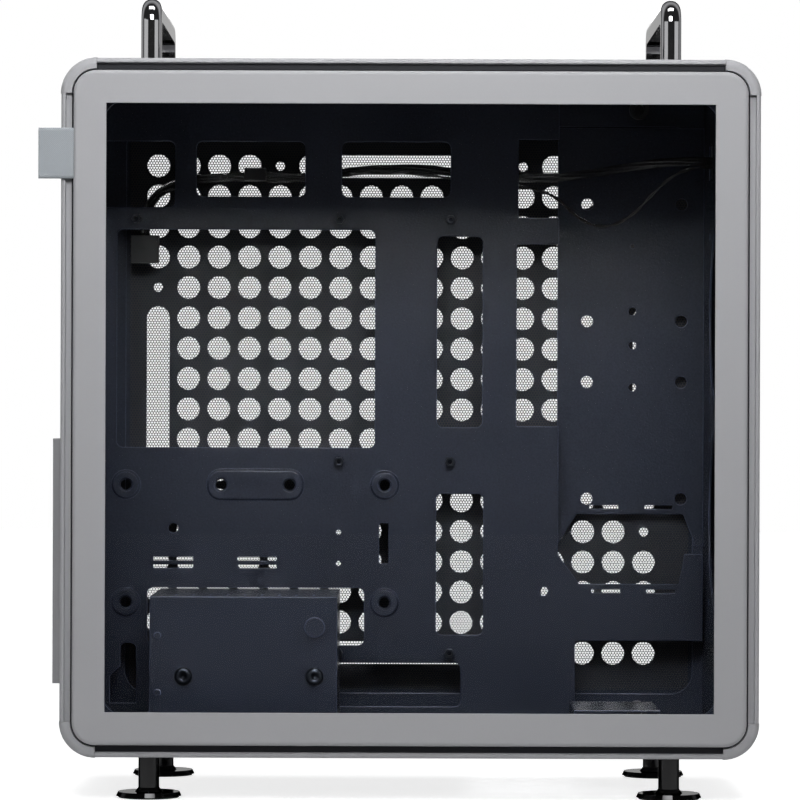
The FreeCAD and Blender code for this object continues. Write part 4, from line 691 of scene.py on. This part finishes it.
class CASE_OT_drive_screws(bpy.types.Operator):
    """Turn the pan-headed screws of the drive cage"""
    bl_idname = "case.drive_screws"
    bl_label = "Drive screws"

    def execute(self, context):
        colours, details, _ = chosen()
        low, high = (np.array(c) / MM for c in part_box("drive_screws"))
        reach, sides = (high[2] - low[2]) / 2, 24
        radius, depth = screw_profile(reach, details.screw_head / MM, high[1] - low[1])
        angle = 2 * np.pi * np.arange(sides) / sides
        ring = np.stack(np.broadcast_arrays(radius[:, None] * np.cos(angle), low[1] + depth[:, None],
                                            radius[:, None] * np.sin(angle)), axis=-1).reshape(-1, 3)
        centres = np.array([[low[0] + reach, 0, low[2] + reach], [high[0] - reach, 0, low[2] + reach]])
        cap = end_cap(sides)
        last = (len(radius) - 1) * sides
        quads = np.concatenate([closed_grid(len(radius), sides), cap[:, ::-1], cap + last])
        piece = put_mesh("drive_cage_screws", (ring[None] + centres[:, None, :]).reshape(-1, 3),
                         (quads[None] + (np.arange(2) * len(ring))[:, None, None]).reshape(-1, 4)[:, ::-1],
                         screw_plating("black_screws", blackened(colours.zinc)), "chassis")
        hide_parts("drive_screws")
        return {"FINISHED"}


class CASE_OT_fittings(bpy.types.Operator):
    """Plate the handles and feet, and give the feet their rubber"""
    bl_idname = "case.fittings"
    bl_label = "Handles and feet"

    def execute(self, context):
        paint_nodes(black_plating("handle_plating", 1.0), "handle_rear", "handle_front")
        paint_nodes(black_plating("foot_plating", 0.12), *["foot_" + end for end in FEET])
        paint_nodes(pad_rubber(), *["foot_pad_" + end for end in FEET])
        return {"FINISHED"}


class CASE_OT_pull_tab(bpy.types.Operator):
    """Fold the woven pull tab"""
    bl_idname = "case.pull_tab"
    bl_label = "Pull tab"

    def execute(self, context):
        low, high = (np.array(c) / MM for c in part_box("pull_tab"))
        y_mid, bend = (low[1] + high[1]) / 2, (high[1] - low[1] - STRAP_THICK) / 2
        run = np.linspace(high[0] - STRAP_END, low[0] + bend + STRAP_THICK / 2, 12)
        turn = np.linspace(np.pi / 2, 3 * np.pi / 2, 9)[1:-1]
        x = np.concatenate([run, run[-1] + bend * np.cos(turn), run[::-1]])
        front, behind = np.full(len(run), y_mid - bend), np.full(len(run), y_mid + bend)
        y = np.concatenate([front, y_mid - bend * np.sin(turn), behind])
        z = np.linspace(low[2] + STRAP_SIDE, high[2] - STRAP_SIDE, 17)
        grid = np.stack(np.broadcast_arrays(x[:, None], y[:, None], z[None, :]), axis=-1).reshape(-1, 3)
        quads = closed_grid(len(x), len(z), around=False)
        piece = put_mesh("folded_tab", grid, quads, woven_strap(), "left_side")
        step = np.concatenate([[0], np.cumsum(np.hypot(np.diff(x), np.diff(y)))])
        uv = np.stack(np.broadcast_arrays(step[:, None], z[None, :]), axis=-1).reshape(-1, 2) * MM
        layer = piece.data.uv_layers.new(name="weave")
        layer.data.foreach_set("uv", uv[quads.ravel()].astype(np.float32).ravel())
        wall = piece.modifiers.new("cloth_thickness", "SOLIDIFY")
        wall.thickness = STRAP_THICK * MM
        wall.offset = 0.0
        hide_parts("pull_tab")
        return {"FINISHED"}


class CASE_OT_leads(bpy.types.Operator):
    """Lay the leads of the front sockets along their routes, each a bundle of round strands"""
    bl_idname = "case.leads"
    bl_label = "Leads"

    def execute(self, context):
        jacket = lead_jacket()
        for name, node, route, width, length, plug, count, turns in (
                ("socket_lead", "socket_cable", SOCKET_ROUTE, 6.0, 0.403, "socket_plug", 5, 2.2),
                ("button_lead", "switch_lead", SWITCH_ROUTE, 2.4, 0.321, "switch_plug", 2, 9.0)):
            line = route_points(name, np.array(route) + MIDDLE)
            points, quads = twisted_strands(line, width, count, turns)
            lead = put_mesh(name, points, quads, jacket, "chassis")
            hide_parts(node)
        return {"FINISHED"}


# Studio
def background(tree, strength):
    """A white Background shader of a set or linked strength."""
    node = tree.nodes.new("ShaderNodeBackground")
    node.inputs["Color"].default_value = WHITE
    feed(tree, node.inputs["Strength"], strength)
    return node.outputs["Background"]


def lit_world(studio):
    """White for the camera, a faint even sky for plain light, and for metal and glass a room that is dark on
    the camera's side and white behind the case."""
    world = bpy.data.worlds.new("even_light")
    world.use_nodes = True
    tree = world.node_tree
    tree.nodes.remove(tree.nodes["Background"])
    way = tree.nodes.new("ShaderNodeTexCoord").outputs["Generated"]
    wall = ramp(tree, split(tree, way)["Y"], 0.1, 0.5, studio.room, 1.0)
    path = tree.nodes.new("ShaderNodeLightPath").outputs
    seen = math_node(tree, "MAXIMUM", path["Is Glossy Ray"], path["Is Transmission Ray"])
    mirrored = either(tree, seen, background(tree, studio.sky), background(tree, wall))
    whole = either(tree, path["Is Camera Ray"], mirrored, background(tree, 1.0))
    tree.links.new(whole, tree.nodes["World Output"].inputs["Surface"])
    return world


def floor_paint():
    """A pale floor that keeps shadows and is lifted towards white for the camera, more so away from the
    case, and for what metal and glass show of it behind the case."""
    material, tree, shader = new_finish("pale_floor")
    place = grain(tree, shader, (0.8, 0.8, 0.8), scale=3, spread=0.01, bump=0.0, roughness=0.9,
                  rough_spread=0.02)
    shader.inputs["Specular IOR Level"].default_value = 0.0
    shader.inputs["Emission Color"].default_value = WHITE
    pale = ramp(tree, vector_node(tree, "LENGTH", place), 0.3, 1.5, 0.8, 1.0)
    behind = ramp(tree, split(tree, place)["Y"], 0.0, 0.4)
    path = tree.nodes.new("ShaderNodeLightPath").outputs
    mirrored = math_node(tree, "MAXIMUM", path["Is Glossy Ray"], path["Is Transmission Ray"])
    seen = math_node(tree, "MAXIMUM", math_node(tree, "MULTIPLY", mirrored, behind), path["Is Camera Ray"])
    tree.links.new(math_node(tree, "MULTIPLY", seen, pale), shader.inputs["Emission Strength"])
    return material


def put_floor(scene):
    """A flat square of four quads just under the feet."""
    span = np.linspace(-FLOOR_HALF, FLOOR_HALF, 3)
    x, y = np.meshgrid(span, span)
    points = np.column_stack([x.ravel(), y.ravel(), np.full(x.size, -FLOOR_DROP)])
    mesh = bpy.data.meshes.new("floor")
    mesh.from_pydata(points * MM, [], closed_grid(len(span), len(span), around=False).tolist())
    mesh.materials.append(floor_paint())
    floor = bpy.data.objects.new("floor", mesh)
    scene.collection.objects.link(floor)


def put_lamp(scene, name, place, aim, size, power, spread):
    """A rectangular area lamp that looks from its place at its aim."""
    lamp = bpy.data.lights.new(name, "AREA")
    lamp.shape = "RECTANGLE"
    lamp.size, lamp.size_y = size
    lamp.energy = power
    lamp.spread = spread
    holder = bpy.data.objects.new(name, lamp)
    scene.collection.objects.link(holder)
    holder.location = place
    away = np.array(place) - np.array(aim)
    tilt = math.atan2(math.hypot(away[0], away[1]), away[2])
    holder.rotation_euler = (tilt, 0, math.atan2(away[0], -away[1]))


def put_camera(scene, studio):
    """The camera in front of the glazed side."""
    camera = bpy.data.cameras.new("front_camera")
    camera.sensor_width = 36.0
    camera.lens = studio.lens
    camera.shift_y = studio.shift
    camera.clip_start = 0.05
    camera.clip_end = 50.0
    view = bpy.data.objects.new("front_camera", camera)
    scene.collection.objects.link(view)
    view.location = (studio.side, -studio.distance, studio.height)
    view.rotation_euler = (math.pi / 2, studio.roll, 0)
    scene.camera = view


class CASE_OT_studio(bpy.types.Operator):
    """Set up the floor, the lamps, the background and the camera"""
    bl_idname = "case.studio"
    bl_label = "Studio"

    def execute(self, context):
        scene = context.scene
        _, _, studio = chosen()
        scene.view_settings.view_transform = "Standard"
        scene.world = lit_world(studio)
        put_floor(scene)
        cone, box = studio.spread, (2.0, 0.26)
        put_lamp(scene, "front_lamp", (0, -1.15, 0.9), (0, -0.11, 0.5), (0.8, 0.4), studio.key, cone)
        put_lamp(scene, "top_lamp", (0, -0.5, 1.7), (0, 0, 0.2), (1.2, 0.4), studio.top, cone)
        put_lamp(scene, "left_box", (-1.9, -1.1, 0.72), (0, 0, 0.4), box, studio.fill, math.pi)
        put_lamp(scene, "right_box", (1.9, -1.1, 0.72), (0, 0, 0.4), box, studio.fill, math.pi)
        put_lamp(scene, "back_lamp", (0, 1.15, 0.9), (0, 0.11, 0.42), (1.5, 0.6), studio.key, cone)
        put_camera(scene, studio)
        return {"FINISHED"}


class CASE_PT_dress(bpy.types.Panel):
    """Settings and steps of the case's dress"""
    bl_label = "Computer case"
    bl_idname = "CASE_PT_dress"
    bl_space_type = "VIEW_3D"
    bl_region_type = "UI"
    bl_category = "Case"

    def draw(self, context):
        for group in chosen():
            box = self.layout.box()
            for name in group.__annotations__:
                box.prop(group, name)
        for step in STEPS:
            self.layout.operator(step.bl_idname)


STEPS = (CASE_OT_shell, CASE_OT_chassis, CASE_OT_glass, CASE_OT_vent_panel, CASE_OT_drive_screws,
         CASE_OT_fittings, CASE_OT_pull_tab, CASE_OT_leads, CASE_OT_studio)
CLASSES = (CaseColours, CaseDetails, CaseStudio) + STEPS + (CASE_PT_dress,)


def register():
    for cls in CLASSES:
        bpy.utils.register_class(cls)
    bpy.types.Scene.case_colours = PointerProperty(type=CaseColours)
    bpy.types.Scene.case_details = PointerProperty(type=CaseDetails)
    bpy.types.Scene.case_studio = PointerProperty(type=CaseStudio)


def unregister():
    del bpy.types.Scene.case_studio
    del bpy.types.Scene.case_details
    del bpy.types.Scene.case_colours
    for cls in reversed(CLASSES):
        bpy.utils.unregister_class(cls)


def main():
    register()
    bpy.ops.case.shell()
    bpy.ops.case.chassis()
    bpy.ops.case.glass()
    bpy.ops.case.vent_panel()
    bpy.ops.case.drive_screws()
    bpy.ops.case.fittings()
    bpy.ops.case.pull_tab()
    bpy.ops.case.leads()
    bpy.ops.case.studio()


if __name__ == "__main__":
    main()
